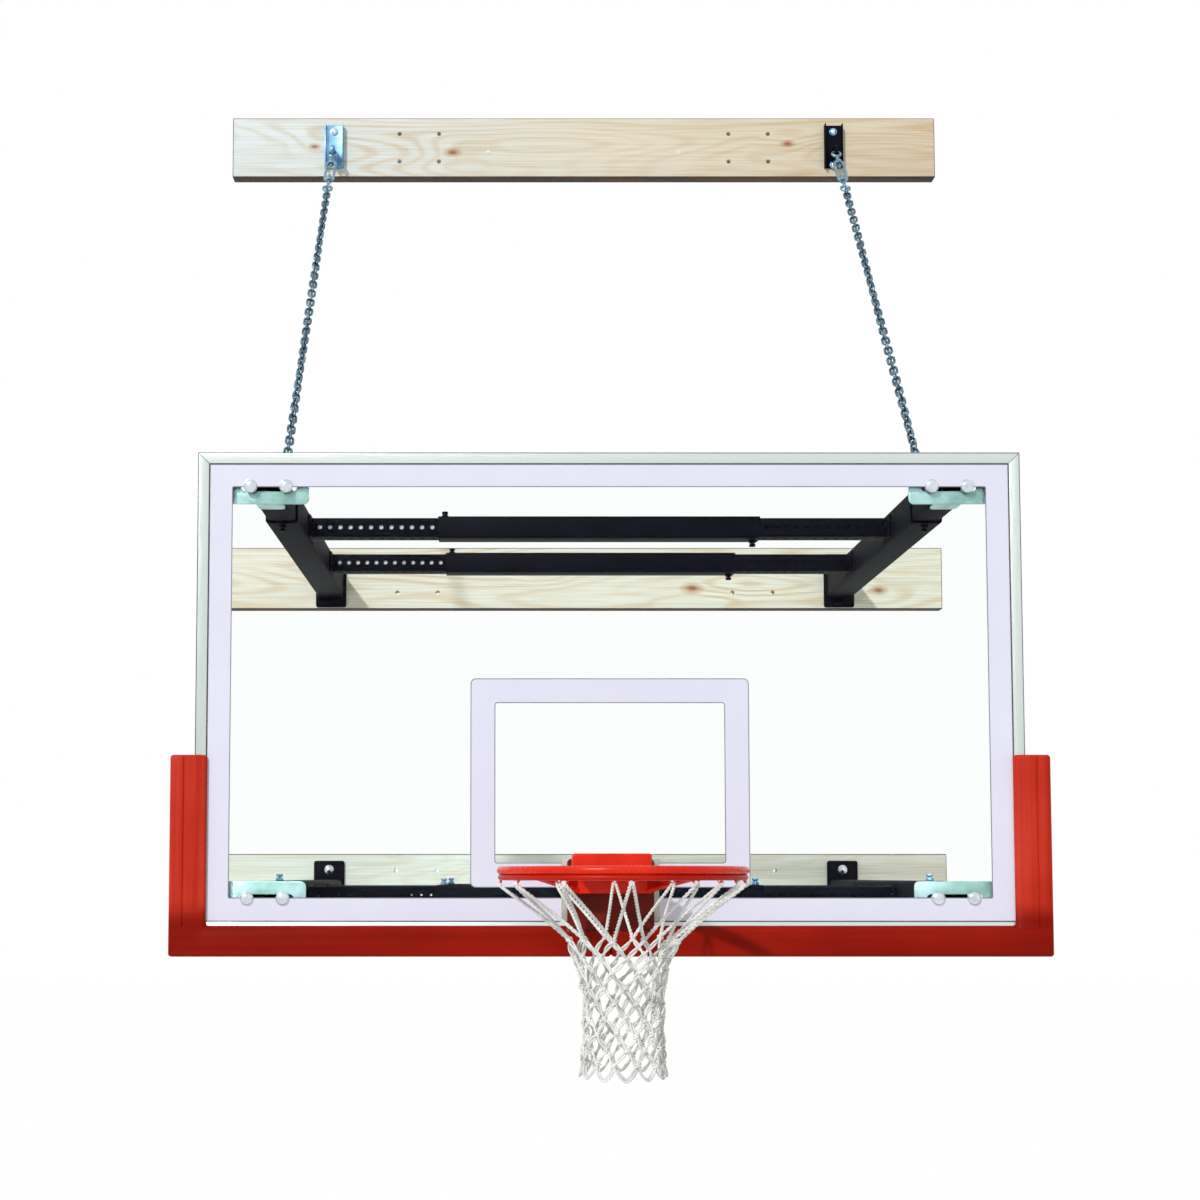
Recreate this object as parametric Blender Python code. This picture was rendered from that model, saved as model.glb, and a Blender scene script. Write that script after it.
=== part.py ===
"""Wall-mounted basketball hoop: a glass backboard on four telescoping arms, hung from three wall
boards by a pair of chains, with a sprung breakaway rim. Metres, X right, Y into the wall, Z up.
The origin is the centre of the middle wall board's back face, and the hoop faces -Y."""

import math

import bmesh
import bpy
from mathutils import Matrix, Vector

# Fits
GAP = 0.0003
SLIDING_CLEARANCE = 0.0006
RUNNING_CLEARANCE = 0.00045

# Wall boards and the lag holes in them
WALL_BOARD_LENGTH = 2.134
WALL_BOARD_HEIGHT = 0.184
WALL_BOARD_THICKNESS = 0.038
MIDDLE_BOARD_RISE = 0.022
BOTTOM_BOARD_RISE = 0.022
TOP_BOARD_RISE = 1.345
LAG_HOLE_RADIUS = 0.0065
LAG_HOLE_COLUMNS = (0.44, 0.56)
LAG_HOLE_ROW = 0.043

# Backboard
GLASS_FROM_WALL = 1.219
BOARD_WIDTH = 1.829
BOARD_HEIGHT = 1.067
GLASS_THICKNESS = 0.0127
RAIL_LIP = 0.0254
RAIL_LIP_THICKNESS = 0.0025
RAIL_WALL = 0.003
RAIL_DEPTH = 0.038
RAIL_REAR_FLANGE = 0.020

# Arms: an inner tube slides in a sleeve that is welded to its wall plate
ARM_INSET = 0.157
ARM_EDGE = 0.076
ARM_SLEEVE_SIDE = 0.0762
ARM_SLEEVE_WALL = 0.0048
ARM_INNER_WALL = 0.004
SLEEVE_BEHIND_GLASS = 0.203
ARM_TAIL_ROOM = 0.045
ARM_TRAVEL = 0.610
WALL_PLATE_MARGIN = 0.007
WALL_PLATE_ABOVE = 0.094
WALL_PLATE_BELOW = 0.066
WALL_PLATE_THICKNESS = 0.006

# Cross tubes between the arms
CROSS_SLEEVE_SIDE = 0.0555
CROSS_SLEEVE_LENGTH = 0.800
CROSS_WALL = 0.0032
CROSS_OVERLAP = 0.110
CROSS_FRONT_BEHIND_GLASS = 0.432
CROSS_REAR_BEHIND_GLASS = 0.864
CROSS_FLANGE_WIDTH = 0.100
CROSS_FLANGE_THICKNESS = 0.005
CROSS_HOLE_RADIUS = 0.0055
CROSS_HOLE_PITCH = 0.0254
CROSS_HOLE_MARGIN = 0.020

# Brackets and bolts that hold the glass to the arms
BRACKET_WIDTH = 0.178
BRACKET_THICKNESS = 0.006
BRACKET_EAR_DEPTH = 0.055
BRACKET_EAR_THICKNESS = 0.005
BRACKET_EAR_WIDTH = 0.060
ARM_BEHIND_NUTS = 0.004
BOARD_BOLT_SPREAD = 0.0394
BOARD_BOLT_RADIUS = 0.005
BOARD_BOLT_HEAD_RADIUS = 0.0155
BOARD_BOLT_HEAD_HEIGHT = 0.008
BOARD_BOLT_NUT_RADIUS = 0.010
BOARD_BOLT_NUT_HEIGHT = 0.008
BOARD_BOLT_HOLE_RADIUS = 0.0075
BRACKET_SLOT_LENGTH = 0.030

# Chains and turnbuckles
CHAIN_BRACKET_WIDTH = 0.055
CHAIN_BRACKET_HEIGHT = 0.133
CHAIN_BRACKET_THICKNESS = 0.005
CHAIN_LUG_THICKNESS = 0.008
CHAIN_LUG_RADIUS = 0.019
CHAIN_LUG_REACH = 0.034
CHAIN_LUG_HOLE_RADIUS = 0.0098
CHAIN_LUG_DROP = 0.030
CHAIN_RADIUS = 0.0095
EYE_RADIUS = 0.012
EYE_ROD_RADIUS = 0.004
EYE_SEAT = 0.0036
SCREW_RADIUS = 0.005
SCREW_EXPOSED = 0.030
SCREW_INSIDE = 0.034
TURNBUCKLE_LENGTH = 0.115
TURNBUCKLE_BOSS_RADIUS = 0.0095
TURNBUCKLE_BOSS_LENGTH = 0.018
TURNBUCKLE_BAR_RADIUS = 0.0035
TURNBUCKLE_BAR_OFFSET = 0.0125

# Rim, its mounting and its net
RING_BORE_RADIUS = 0.2286
RING_ROD_RADIUS = 0.008
RING_RISE = 0.136
RING_REACH = 0.381
SUPPORT_WIDTH = 0.213
SUPPORT_HEIGHT = 0.163
SUPPORT_BEHIND = 0.030
SUPPORT_WALL = 0.010
MOUNT_PLATE_WIDTH = 0.190
MOUNT_PLATE_THICKNESS = 0.008
MOUNT_PLATE_LOW = 0.005
HOUSING_WIDTH = 0.172
HOUSING_HEIGHT = 0.086
HOUSING_DEPTH = 0.0565
HOUSING_WALL = 0.005
HOUSING_TOP = 0.174
PIN_RADIUS = 0.005
PIN_FORWARD = 0.0225
PIN_ABOVE_HOUSING = 0.015
PIN_OVERHANG = 0.004
EAR_OFFSET = 0.055
EAR_THICKNESS = 0.008
EAR_RADIUS = 0.012
SPRING_ABOVE_PIN = 0.040
SPRING_BOLT_RADIUS = 0.004
SPRING_HEAD_RADIUS = 0.013
SPRING_HEAD_THICKNESS = 0.004
SPRING_HEAD_ROOM = 0.003
SPRING_RADIUS = 0.0080
SPRING_WIRE_RADIUS = 0.0014
SPRING_TURNS = 6
SPRING_SLOT_HEIGHT = 0.028
SPRING_SLOT_CLEARANCE = 0.0015
NECK_THICKNESS = 0.006
BRACE_RADIUS = 0.006
BRACE_ANGLE = math.radians(55)
HOOK_COUNT = 12
HOOK_RADIUS = 0.008
HOOK_ROD_RADIUS = 0.0022

NET_CORD = 0.0055
NET_BELOW_HOOK = 0.0025
NET_ROWS = 10
NET_FIRST_DROP = 0.132
NET_LAST_DROP = 0.397
NET_WAIST_RADIUS = 0.077
NET_SHOULDER = 0.038
NET_SHOULDER_FALL = 0.060
NET_FLARE = 0.010

# Edge pad
PAD_OUTSIDE = 0.050
PAD_RISE = 0.391
PAD_SIDE_COVER = 0.029
PAD_BOTTOM_COVER = 0.017
PAD_FRONT = 0.016
PAD_BEHIND = 0.006
PAD_CORNER = 0.012

# Places that follow from the sizes
ARM_X = BOARD_WIDTH / 2 - ARM_INSET
UPPER_ARM_Z = -MIDDLE_BOARD_RISE
LOWER_ARM_Z = UPPER_ARM_Z - (BOARD_HEIGHT - 2 * ARM_EDGE)
BOARD_TOP_Z = UPPER_ARM_Z + ARM_EDGE
BOARD_BOTTOM_Z = BOARD_TOP_Z - BOARD_HEIGHT
BOTTOM_BOARD_Z = LOWER_ARM_Z + BOTTOM_BOARD_RISE
TOP_BOARD_Z = TOP_BOARD_RISE - MIDDLE_BOARD_RISE
GLASS_FRONT_Y = -GLASS_FROM_WALL
GLASS_BACK_Y = GLASS_FRONT_Y + GLASS_THICKNESS
RAIL_FRONT_Y = GLASS_FRONT_Y - GAP - RAIL_LIP_THICKNESS
WALL_FACE_Y = -WALL_BOARD_THICKNESS - GAP
SLEEVE_FRONT_Y = GLASS_FRONT_Y + SLEEVE_BEHIND_GLASS
ARM_INNER_SIDE = ARM_SLEEVE_SIDE - 2 * ARM_SLEEVE_WALL - 2 * SLIDING_CLEARANCE
WALL_PLATE_WIDTH = ARM_SLEEVE_SIDE + 2 * WALL_PLATE_MARGIN
CROSS_INNER_SIDE = CROSS_SLEEVE_SIDE - 2 * CROSS_WALL - 2 * SLIDING_CLEARANCE
ARM_ROWS = (("upper", UPPER_ARM_Z), ("lower", LOWER_ARM_Z))
SIDES = (("left", -1), ("right", 1))
MOUNT_PLATE_BACK_Y = RAIL_FRONT_Y - GAP
MOUNT_PLATE_FRONT_Y = MOUNT_PLATE_BACK_Y - MOUNT_PLATE_THICKNESS
PIN_Y = MOUNT_PLATE_FRONT_Y - PIN_FORWARD
PIN_Z = BOARD_BOTTOM_Z + HOUSING_TOP - HOUSING_HEIGHT + PIN_ABOVE_HOUSING
RING_Z = BOARD_BOTTOM_Z + RING_RISE
RING_Y = GLASS_FRONT_Y - RING_REACH
RING_RADIUS = RING_BORE_RADIUS + RING_ROD_RADIUS


def clear_scene():
    for obj in list(bpy.data.objects):
        bpy.data.objects.remove(obj)


def finish(name, colour, roughness, metallic=0.0, transmission=0.0):
    """A plain material with the piece's colour."""
    material = bpy.data.materials.new(name)
    material.use_nodes = True
    shader = material.node_tree.nodes["Principled BSDF"]
    shader.inputs["Base Color"].default_value = (*colour, 1.0)
    shader.inputs["Roughness"].default_value = roughness
    shader.inputs["Metallic"].default_value = metallic
    shader.inputs["Transmission Weight"].default_value = transmission
    return material


def add_empty(name, location):
    empty = bpy.data.objects.new(name, None)
    empty.location = location
    bpy.context.scene.collection.objects.link(empty)
    return empty


def add_object(name, bm, material, location=(0, 0, 0), rotation=(0, 0, 0), carrier=None):
    """Turns a bmesh in the piece's own frame into an object at its place, riding on its carrier."""
    bmesh.ops.recalc_face_normals(bm, faces=bm.faces)
    mesh = bpy.data.meshes.new(name)
    bm.to_mesh(mesh)
    bm.free()
    if material:
        mesh.materials.append(material)
    obj = bpy.data.objects.new(name, mesh)
    bpy.context.scene.collection.objects.link(obj)
    obj.location = location
    obj.rotation_euler = rotation
    if carrier:
        obj.parent = carrier
        obj.matrix_parent_inverse = Matrix.Translation(carrier.location).inverted()
    return obj


def shade_round(obj):
    obj.data.shade_smooth()
    obj.data.set_sharp_from_angle(angle=math.radians(35))


def combine(obj, bm, operation):
    """Joins a hidden helper shape to the object, or cuts it out, in the object's own frame."""
    helper = add_object(obj.name + "_" + operation.lower(), bm, None)
    helper.parent = obj
    helper.hide_render = True
    helper.display_type = "WIRE"
    modifier = obj.modifiers.new(helper.name, "BOOLEAN")
    modifier.operation = operation
    modifier.solver = "EXACT"
    modifier.object = helper


def add_box(bm, low, high):
    """A box between two corners."""
    size = [high[i] - low[i] for i in range(3)]
    centre = [(high[i] + low[i]) / 2 for i in range(3)]
    matrix = Matrix.Translation(centre) @ Matrix.Diagonal((*size, 1))
    bmesh.ops.create_cube(bm, size=1, matrix=matrix)


def add_rod(bm, start, end, radius, sides):
    """A capped round bar between two points."""
    start = Vector(start)
    axis = Vector(end) - start
    turn = axis.to_track_quat("Z", "X").to_matrix().to_4x4()
    matrix = Matrix.Translation(start + axis / 2) @ turn
    bmesh.ops.create_cone(
        bm, cap_ends=True, segments=sides, radius1=radius, radius2=radius, depth=axis.length, matrix=matrix
    )


def add_prism(bm, outline, low, high, axis):
    """An outline of two coordinates, extruded along the third axis from low to high."""
    order = {"X": (2, 0, 1), "Y": (0, 2, 1), "Z": (0, 1, 2)}[axis]
    ends = []
    for along in (low, high):
        rows = [(u, v, along) for u, v in outline]
        ends.append([bm.verts.new([row[i] for i in order]) for row in rows])
    bm.faces.new(ends[0])
    bm.faces.new(ends[1])
    count = len(outline)
    for i in range(count):
        j = (i + 1) % count
        bm.faces.new((ends[0][i], ends[0][j], ends[1][j], ends[1][i]))


def add_square_tube(bm, side, wall, low, high, axis):
    """An open square tube along an axis, centred on it."""
    order = {"X": (2, 0, 1), "Y": (0, 2, 1)}[axis]
    rings = []
    for along in (low, high):
        for half in (side / 2, side / 2 - wall):
            corners = [(-half, -half), (half, -half), (half, half), (-half, half)]
            rows = [(u, v, along) for u, v in corners]
            rings.append([bm.verts.new([row[i] for i in order]) for row in rows])
    for first, second in ((0, 2), (1, 3), (0, 1), (2, 3)):
        for i in range(4):
            j = (i + 1) % 4
            bm.faces.new((rings[first][i], rings[first][j], rings[second][j], rings[second][i]))


def add_swept_rod(bm, points, radius, sides, closed=False):
    """A round rod along a row of points, capped unless it closes on itself."""
    points = [Vector(point) for point in points]
    count = len(points)
    rings = []
    normal = None
    for i, point in enumerate(points):
        before = points[i - 1] if i or closed else points[0]
        after = points[(i + 1) % count] if i + 1 < count or closed else points[-1]
        along = (after - before).normalized()
        if normal is None:
            normal = along.orthogonal().normalized()
        normal = (normal - along * normal.dot(along)).normalized()
        other = along.cross(normal)
        ring = []
        for k in range(sides):
            angle = 2 * math.pi * k / sides
            ring.append(bm.verts.new(point + radius * (math.cos(angle) * normal + math.sin(angle) * other)))
        rings.append(ring)
    pairs = list(zip(rings, rings[1:]))
    if closed:
        pairs.append((rings[-1], rings[0]))
    else:
        bm.faces.new(rings[0])
        bm.faces.new(rings[-1])
    for first, second in pairs:
        for k in range(sides):
            j = (k + 1) % sides
            bm.faces.new((first[k], first[j], second[j], second[k]))


def add_torus(bm, radius, rod_radius, steps, sides, frame=Matrix()):
    """A closed round ring in the frame's XY plane."""
    points = []
    for i in range(steps):
        angle = 2 * math.pi * i / steps
        points.append(frame @ Vector((radius * math.cos(angle), radius * math.sin(angle), 0)))
    add_swept_rod(bm, points, rod_radius, sides, closed=True)


def make_wall_board(name, z, material, carrier):
    """A plank with its four pairs of lag holes."""
    bm = bmesh.new()
    half_length = WALL_BOARD_LENGTH / 2
    half_height = WALL_BOARD_HEIGHT / 2
    add_box(bm, (-half_length, -WALL_BOARD_THICKNESS, -half_height), (half_length, 0, half_height))
    board = add_object(name, bm, material, (0, 0, z), carrier=carrier)
    holes = bmesh.new()
    for column in LAG_HOLE_COLUMNS:
        for x in (-column, column):
            for row in (-LAG_HOLE_ROW, LAG_HOLE_ROW):
                start = (x, -1.5 * WALL_BOARD_THICKNESS, row)
                end = (x, 0.5 * WALL_BOARD_THICKNESS, row)
                add_rod(holes, start, end, LAG_HOLE_RADIUS, 8)
    combine(board, holes, "DIFFERENCE")


def lug_outline(reach, radius):
    """A tab from y = 0 to its round end at the reach, as (along, across) points."""
    points = [(0, -radius), (0, radius)]
    steps = 8
    for i in range(steps + 1):
        angle = math.pi / 2 - math.pi * i / steps
        points.append((reach + radius * math.cos(angle), radius * math.sin(angle)))
    return points


def add_lug(bm, root, reach_along, holes):
    """A lug in the YZ plane that reaches from its root along a direction, and its hole's cutter."""
    along = Vector(reach_along)
    across = Vector((1, 0, 0)).cross(along)
    root = Vector(root)
    half = CHAIN_LUG_THICKNESS / 2
    outline = []
    for u, v in lug_outline(CHAIN_LUG_REACH, CHAIN_LUG_RADIUS):
        point = root + u * along + v * across
        outline.append((point.y, point.z))
    add_prism(bm, outline, root.x - half, root.x + half, "X")
    hole = root + CHAIN_LUG_REACH * along
    reach = Vector((CHAIN_LUG_THICKNESS, 0, 0))
    add_rod(holes, hole - reach, hole + reach, CHAIN_LUG_HOLE_RADIUS, 16)
    return hole


def make_arm_sleeve(row, side, sign, z, material, carrier):
    """The outer tube with its wall plate, and on an upper arm the lug that the chain pulls on."""
    bm = bmesh.new()
    plate_front_y = WALL_FACE_Y - WALL_PLATE_THICKNESS
    add_square_tube(bm, ARM_SLEEVE_SIDE, ARM_SLEEVE_WALL, SLEEVE_FRONT_Y, plate_front_y + GAP, "Y")
    name = f"arm_sleeve_{row}_{side}"
    sleeve = add_object(name, bm, material, (sign * ARM_X, 0, z), carrier=carrier)
    plate = bmesh.new()
    half_width = WALL_PLATE_WIDTH / 2
    low = (-half_width, plate_front_y, -WALL_PLATE_BELOW)
    add_box(plate, low, (half_width, WALL_FACE_Y, WALL_PLATE_ABOVE))
    combine(sleeve, plate, "UNION")
    if row == "upper":
        lug = bmesh.new()
        holes = bmesh.new()
        root = (0, SLEEVE_FRONT_Y + CHAIN_LUG_RADIUS, ARM_SLEEVE_SIDE / 2 - ARM_SLEEVE_WALL / 2)
        add_lug(lug, root, (0, 0, 1), holes)
        combine(sleeve, lug, "UNION")
        combine(sleeve, holes, "DIFFERENCE")


def make_arm_inner(row, side, sign, z, material, carrier):
    """The tube that slides in a sleeve and carries a corner of the glass."""
    bm = bmesh.new()
    front = GLASS_BACK_Y + 2 * GAP + BRACKET_THICKNESS + BOARD_BOLT_NUT_HEIGHT + ARM_BEHIND_NUTS
    back = WALL_FACE_Y - WALL_PLATE_THICKNESS - ARM_TAIL_ROOM
    add_square_tube(bm, ARM_INNER_SIDE, ARM_INNER_WALL, front, back, "Y")
    add_object(f"arm_inner_{row}_{side}", bm, material, (sign * ARM_X, 0, z), carrier=carrier)
    held = back - ARM_TRAVEL - SLEEVE_FRONT_Y
    print(f"arm {row} {side}: {held * 1000:.0f} mm still in its sleeve when the board is all the way out")


def cross_hole_places():
    """Distances of the lock holes from the arm, along the part of the tube that shows."""
    exposed = ARM_X - ARM_SLEEVE_SIDE / 2 - CROSS_SLEEVE_LENGTH / 2 - CROSS_FLANGE_THICKNESS
    count = int((exposed - CROSS_HOLE_MARGIN) / CROSS_HOLE_PITCH) + 1
    start = CROSS_FLANGE_THICKNESS + CROSS_HOLE_MARGIN
    return [start + i * CROSS_HOLE_PITCH for i in range(count)]


def make_cross_tube(name, y, z, holed, material, carrier):
    """A width-setting cross tube: a sleeve, and an inner tube to each arm with its welded flange."""
    bm = bmesh.new()
    half = CROSS_SLEEVE_LENGTH / 2
    add_square_tube(bm, CROSS_SLEEVE_SIDE, CROSS_WALL, -half, half, "X")
    add_object(f"cross_sleeve_{name}", bm, material, (0, y, z), carrier=carrier)
    for side, sign in SIDES:
        # Each tube is made for the left side, from the arm at x = 0 inwards, and turned for the right.
        bm = bmesh.new()
        length = ARM_X - ARM_SLEEVE_SIDE / 2 - GAP - half + CROSS_OVERLAP
        add_square_tube(bm, CROSS_INNER_SIDE, CROSS_WALL, CROSS_FLANGE_THICKNESS / 2, length, "X")
        place = (sign * (ARM_X - ARM_SLEEVE_SIDE / 2 - GAP), y, z)
        turn = (0, 0, 0) if sign < 0 else (0, 0, math.pi)
        tube = add_object(f"cross_inner_{name}_{side}", bm, material, place, turn, carrier)
        flange = bmesh.new()
        wide = CROSS_FLANGE_WIDTH / 2
        high = CROSS_SLEEVE_SIDE / 2
        add_box(flange, (0, -wide, -high), (CROSS_FLANGE_THICKNESS, wide, high))
        combine(tube, flange, "UNION")
        if holed:
            cuts = bmesh.new()
            for x in cross_hole_places():
                add_rod(cuts, (x, -CROSS_SLEEVE_SIDE, 0), (x, CROSS_SLEEVE_SIDE, 0), CROSS_HOLE_RADIUS, 6)
            combine(tube, cuts, "DIFFERENCE")


def make_chain_bracket(side, sign, material, carrier):
    """The galvanised plate on the top wall board, with the lug that the turnbuckle hangs from."""
    bm = bmesh.new()
    half_width = CHAIN_BRACKET_WIDTH / 2
    half_height = CHAIN_BRACKET_HEIGHT / 2
    front = WALL_FACE_Y - CHAIN_BRACKET_THICKNESS
    add_box(bm, (-half_width, front, -half_height), (half_width, WALL_FACE_Y, half_height))
    place = (sign * ARM_X, 0, TOP_BOARD_Z)
    bracket = add_object(f"chain_bracket_{side}", bm, material, place, carrier=carrier)
    lug = bmesh.new()
    holes = bmesh.new()
    root = (0, front + CHAIN_BRACKET_THICKNESS / 2, -CHAIN_LUG_DROP)
    add_lug(lug, root, (0, -1, 0), holes)
    combine(bracket, lug, "UNION")
    combine(bracket, holes, "DIFFERENCE")


def chain_ends(sign):
    """Centres of the wall lug's hole and of the arm lug's hole."""
    front = WALL_FACE_Y - CHAIN_BRACKET_THICKNESS / 2
    top = Vector((sign * ARM_X, front - CHAIN_LUG_REACH, TOP_BOARD_Z - CHAIN_LUG_DROP))
    base = UPPER_ARM_Z + ARM_SLEEVE_SIDE / 2 - ARM_SLEEVE_WALL / 2
    low = Vector((sign * ARM_X, SLEEVE_FRONT_Y + CHAIN_LUG_RADIUS, base + CHAIN_LUG_REACH))
    return top, low


def make_eye(name, place, turn, screw_length, material, carrier):
    """An eye and its screw: the eye's centre is at z = 0 and the screw runs up +Z."""
    bm = bmesh.new()
    in_xz = Matrix.Rotation(math.pi / 2, 4, "X")
    add_torus(bm, EYE_RADIUS, EYE_ROD_RADIUS, 20, 8, in_xz)
    eye = add_object(name, bm, material, place, turn, carrier)
    screw = bmesh.new()
    add_rod(screw, (0, 0, EYE_RADIUS), (0, 0, EYE_RADIUS + screw_length), SCREW_RADIUS, 12)
    combine(eye, screw, "UNION")
    shade_round(eye)


def make_turnbuckle_body(name, place, turn, material, carrier):
    """Two threaded bosses joined by two bars, free to spin round the screws."""
    bm = bmesh.new()
    half = TURNBUCKLE_LENGTH / 2
    for sign in (-1, 1):
        inner = sign * (half - TURNBUCKLE_BOSS_LENGTH)
        add_rod(bm, (0, 0, inner), (0, 0, sign * half), TURNBUCKLE_BOSS_RADIUS, 12)
    body = add_object(name, bm, material, place, turn, carrier)
    for sign in (-1, 1):
        bar = bmesh.new()
        x = sign * TURNBUCKLE_BAR_OFFSET
        reach = half - TURNBUCKLE_BOSS_LENGTH / 4
        add_rod(bar, (x, 0, -reach), (x, 0, reach), TURNBUCKLE_BAR_RADIUS, 8)
        combine(body, bar, "UNION")
    bore = bmesh.new()
    add_rod(bore, (0, 0, -2 * half), (0, 0, 2 * half), SCREW_RADIUS + RUNNING_CLEARANCE, 12)
    combine(body, bore, "DIFFERENCE")
    shade_round(body)


def make_chain_run(side, sign, steel, black, carrier):
    """From the wall lug down to the arm lug: eye, turnbuckle, eye and chain on one straight line."""
    top, low = chain_ends(sign)
    along = (low - top).normalized()
    down = along.to_track_quat("Z", "Y").to_euler()
    up = (-along).to_track_quat("Z", "Y").to_euler()
    screw = SCREW_EXPOSED + SCREW_INSIDE
    upper_eye = EYE_SEAT + EYE_RADIUS
    body_start = upper_eye + EYE_RADIUS + SCREW_EXPOSED
    body_centre = body_start + TURNBUCKLE_LENGTH / 2
    lower_eye = body_start + TURNBUCKLE_LENGTH + SCREW_EXPOSED + EYE_RADIUS
    make_eye(f"turnbuckle_upper_eye_{side}", top + along * upper_eye, down, screw, steel, carrier)
    make_eye(f"turnbuckle_lower_eye_{side}", top + along * lower_eye, up, screw, steel, carrier)
    axis = add_empty(f"turnbuckle_axis_{side}", top + along * body_centre)
    name = f"turnbuckle_body_{side}"
    make_turnbuckle_body(name, axis.location, down, steel, axis)
    chain = bmesh.new()
    start = lower_eye + EYE_RADIUS + EYE_ROD_RADIUS + GAP
    end = (low - top).length - CHAIN_LUG_RADIUS - GAP
    add_rod(chain, (0, 0, start), (0, 0, end), CHAIN_RADIUS, 10)
    shade_round(add_object(f"chain_{side}", chain, black, top, down, carrier))


def rail_outline():
    """The aluminium rail's section, as (inwards from the board's edge, back from the front face)."""
    slot_front = RAIL_LIP_THICKNESS
    slot_back = slot_front + GLASS_THICKNESS + 2 * GAP
    lip_back = slot_back + RAIL_LIP_THICKNESS
    return [
        (0, 0),
        (RAIL_LIP, 0),
        (RAIL_LIP, slot_front),
        (RAIL_WALL, slot_front),
        (RAIL_WALL, slot_back),
        (RAIL_LIP, slot_back),
        (RAIL_LIP, lip_back),
        (RAIL_WALL, lip_back),
        (RAIL_WALL, RAIL_DEPTH - RAIL_WALL),
        (RAIL_REAR_FLANGE, RAIL_DEPTH - RAIL_WALL),
        (RAIL_REAR_FLANGE, RAIL_DEPTH),
        (0, RAIL_DEPTH),
    ]


def make_rail(name, length, edge, turn, material, carrier):
    """A mitred rail. It is made for the bottom edge and turned to the edge that it belongs on."""
    bm = bmesh.new()
    ends = []
    for sign in (-1, 1):
        row = [(sign * (length / 2 - u - GAP), v, u) for u, v in rail_outline()]
        ends.append([bm.verts.new(point) for point in row])
    bm.faces.new(ends[0])
    bm.faces.new(ends[1])
    for i in range(len(ends[0])):
        j = (i + 1) % len(ends[0])
        bm.faces.new((ends[0][i], ends[0][j], ends[1][j], ends[1][i]))
    add_object(name, bm, material, edge, (0, turn, 0), carrier)


def make_frame(material, carrier):
    middle_z = BOARD_BOTTOM_Z + BOARD_HEIGHT / 2
    half_width = BOARD_WIDTH / 2
    rails = (
        ("frame_rail_bottom", BOARD_WIDTH, (0, BOARD_BOTTOM_Z), 0),
        ("frame_rail_top", BOARD_WIDTH, (0, BOARD_TOP_Z), math.pi),
        ("frame_rail_left", BOARD_HEIGHT, (-half_width, middle_z), math.pi / 2),
        ("frame_rail_right", BOARD_HEIGHT, (half_width, middle_z), -math.pi / 2),
    )
    for name, length, (x, z), turn in rails:
        make_rail(name, length, (x, RAIL_FRONT_Y, z), turn, material, carrier)


def board_bolt_places():
    """(name, x, z) of the eight bolts through the glass."""
    places = []
    for row, z in ARM_ROWS:
        for side, sign in SIDES:
            for end, offset in (("inner", -BOARD_BOLT_SPREAD), ("outer", BOARD_BOLT_SPREAD)):
                places.append((f"{row}_{side}_{end}", sign * (ARM_X + offset), z))
    return places


def make_glass(material, carrier):
    """The tempered panel, with its bolt holes and the notch that the rim support stands in."""
    bm = bmesh.new()
    half = BOARD_WIDTH / 2 - RAIL_WALL - GAP
    low = BOARD_BOTTOM_Z + RAIL_WALL + GAP
    high = BOARD_TOP_Z - RAIL_WALL - GAP
    add_box(bm, (-half, GLASS_FRONT_Y, low), (half, GLASS_BACK_Y, high))
    glass = add_object("glass_panel", bm, material, carrier=carrier)
    cuts = bmesh.new()
    before = GLASS_FRONT_Y - GLASS_THICKNESS
    behind = GLASS_BACK_Y + GLASS_THICKNESS
    notch = SUPPORT_WIDTH / 2 + 2 * GAP
    notch_top = BOARD_BOTTOM_Z + SUPPORT_HEIGHT + 2 * GAP
    add_box(cuts, (-notch, before, low - RAIL_LIP), (notch, behind, notch_top))
    for _, x, z in board_bolt_places():
        add_rod(cuts, (x, before, z), (x, behind, z), BOARD_BOLT_HOLE_RADIUS, 10)
    combine(glass, cuts, "DIFFERENCE")


def make_board_bracket(row, side, sign, z, material, carrier):
    """The plate behind a corner of the glass, with an ear above and an ear below the arm."""
    bm = bmesh.new()
    half_width = BRACKET_WIDTH / 2
    near = ARM_INNER_SIDE / 2 + GAP
    half_height = near + BRACKET_EAR_THICKNESS
    add_box(bm, (-half_width, 0, -half_height), (half_width, BRACKET_THICKNESS, half_height))
    place = (sign * ARM_X, GLASS_BACK_Y + GAP, z)
    bracket = add_object(f"board_bracket_{row}_{side}", bm, material, place, carrier=carrier)
    ears = bmesh.new()
    wide = BRACKET_EAR_WIDTH / 2
    for low, high in ((-half_height, -near), (near, half_height)):
        add_box(ears, (-wide, BRACKET_THICKNESS / 2, low), (wide, BRACKET_EAR_DEPTH, high))
    combine(bracket, ears, "UNION")
    slots = bmesh.new()
    half_slot = BRACKET_SLOT_LENGTH / 2
    for offset in (-BOARD_BOLT_SPREAD, BOARD_BOLT_SPREAD):
        x = offset + math.copysign(half_slot - BOARD_BOLT_HOLE_RADIUS, offset)
        low = (x - half_slot, -BRACKET_THICKNESS, -BOARD_BOLT_HOLE_RADIUS)
        high = (x + half_slot, 2 * BRACKET_THICKNESS, BOARD_BOLT_HOLE_RADIUS)
        add_box(slots, low, high)
    combine(bracket, slots, "DIFFERENCE")


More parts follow.
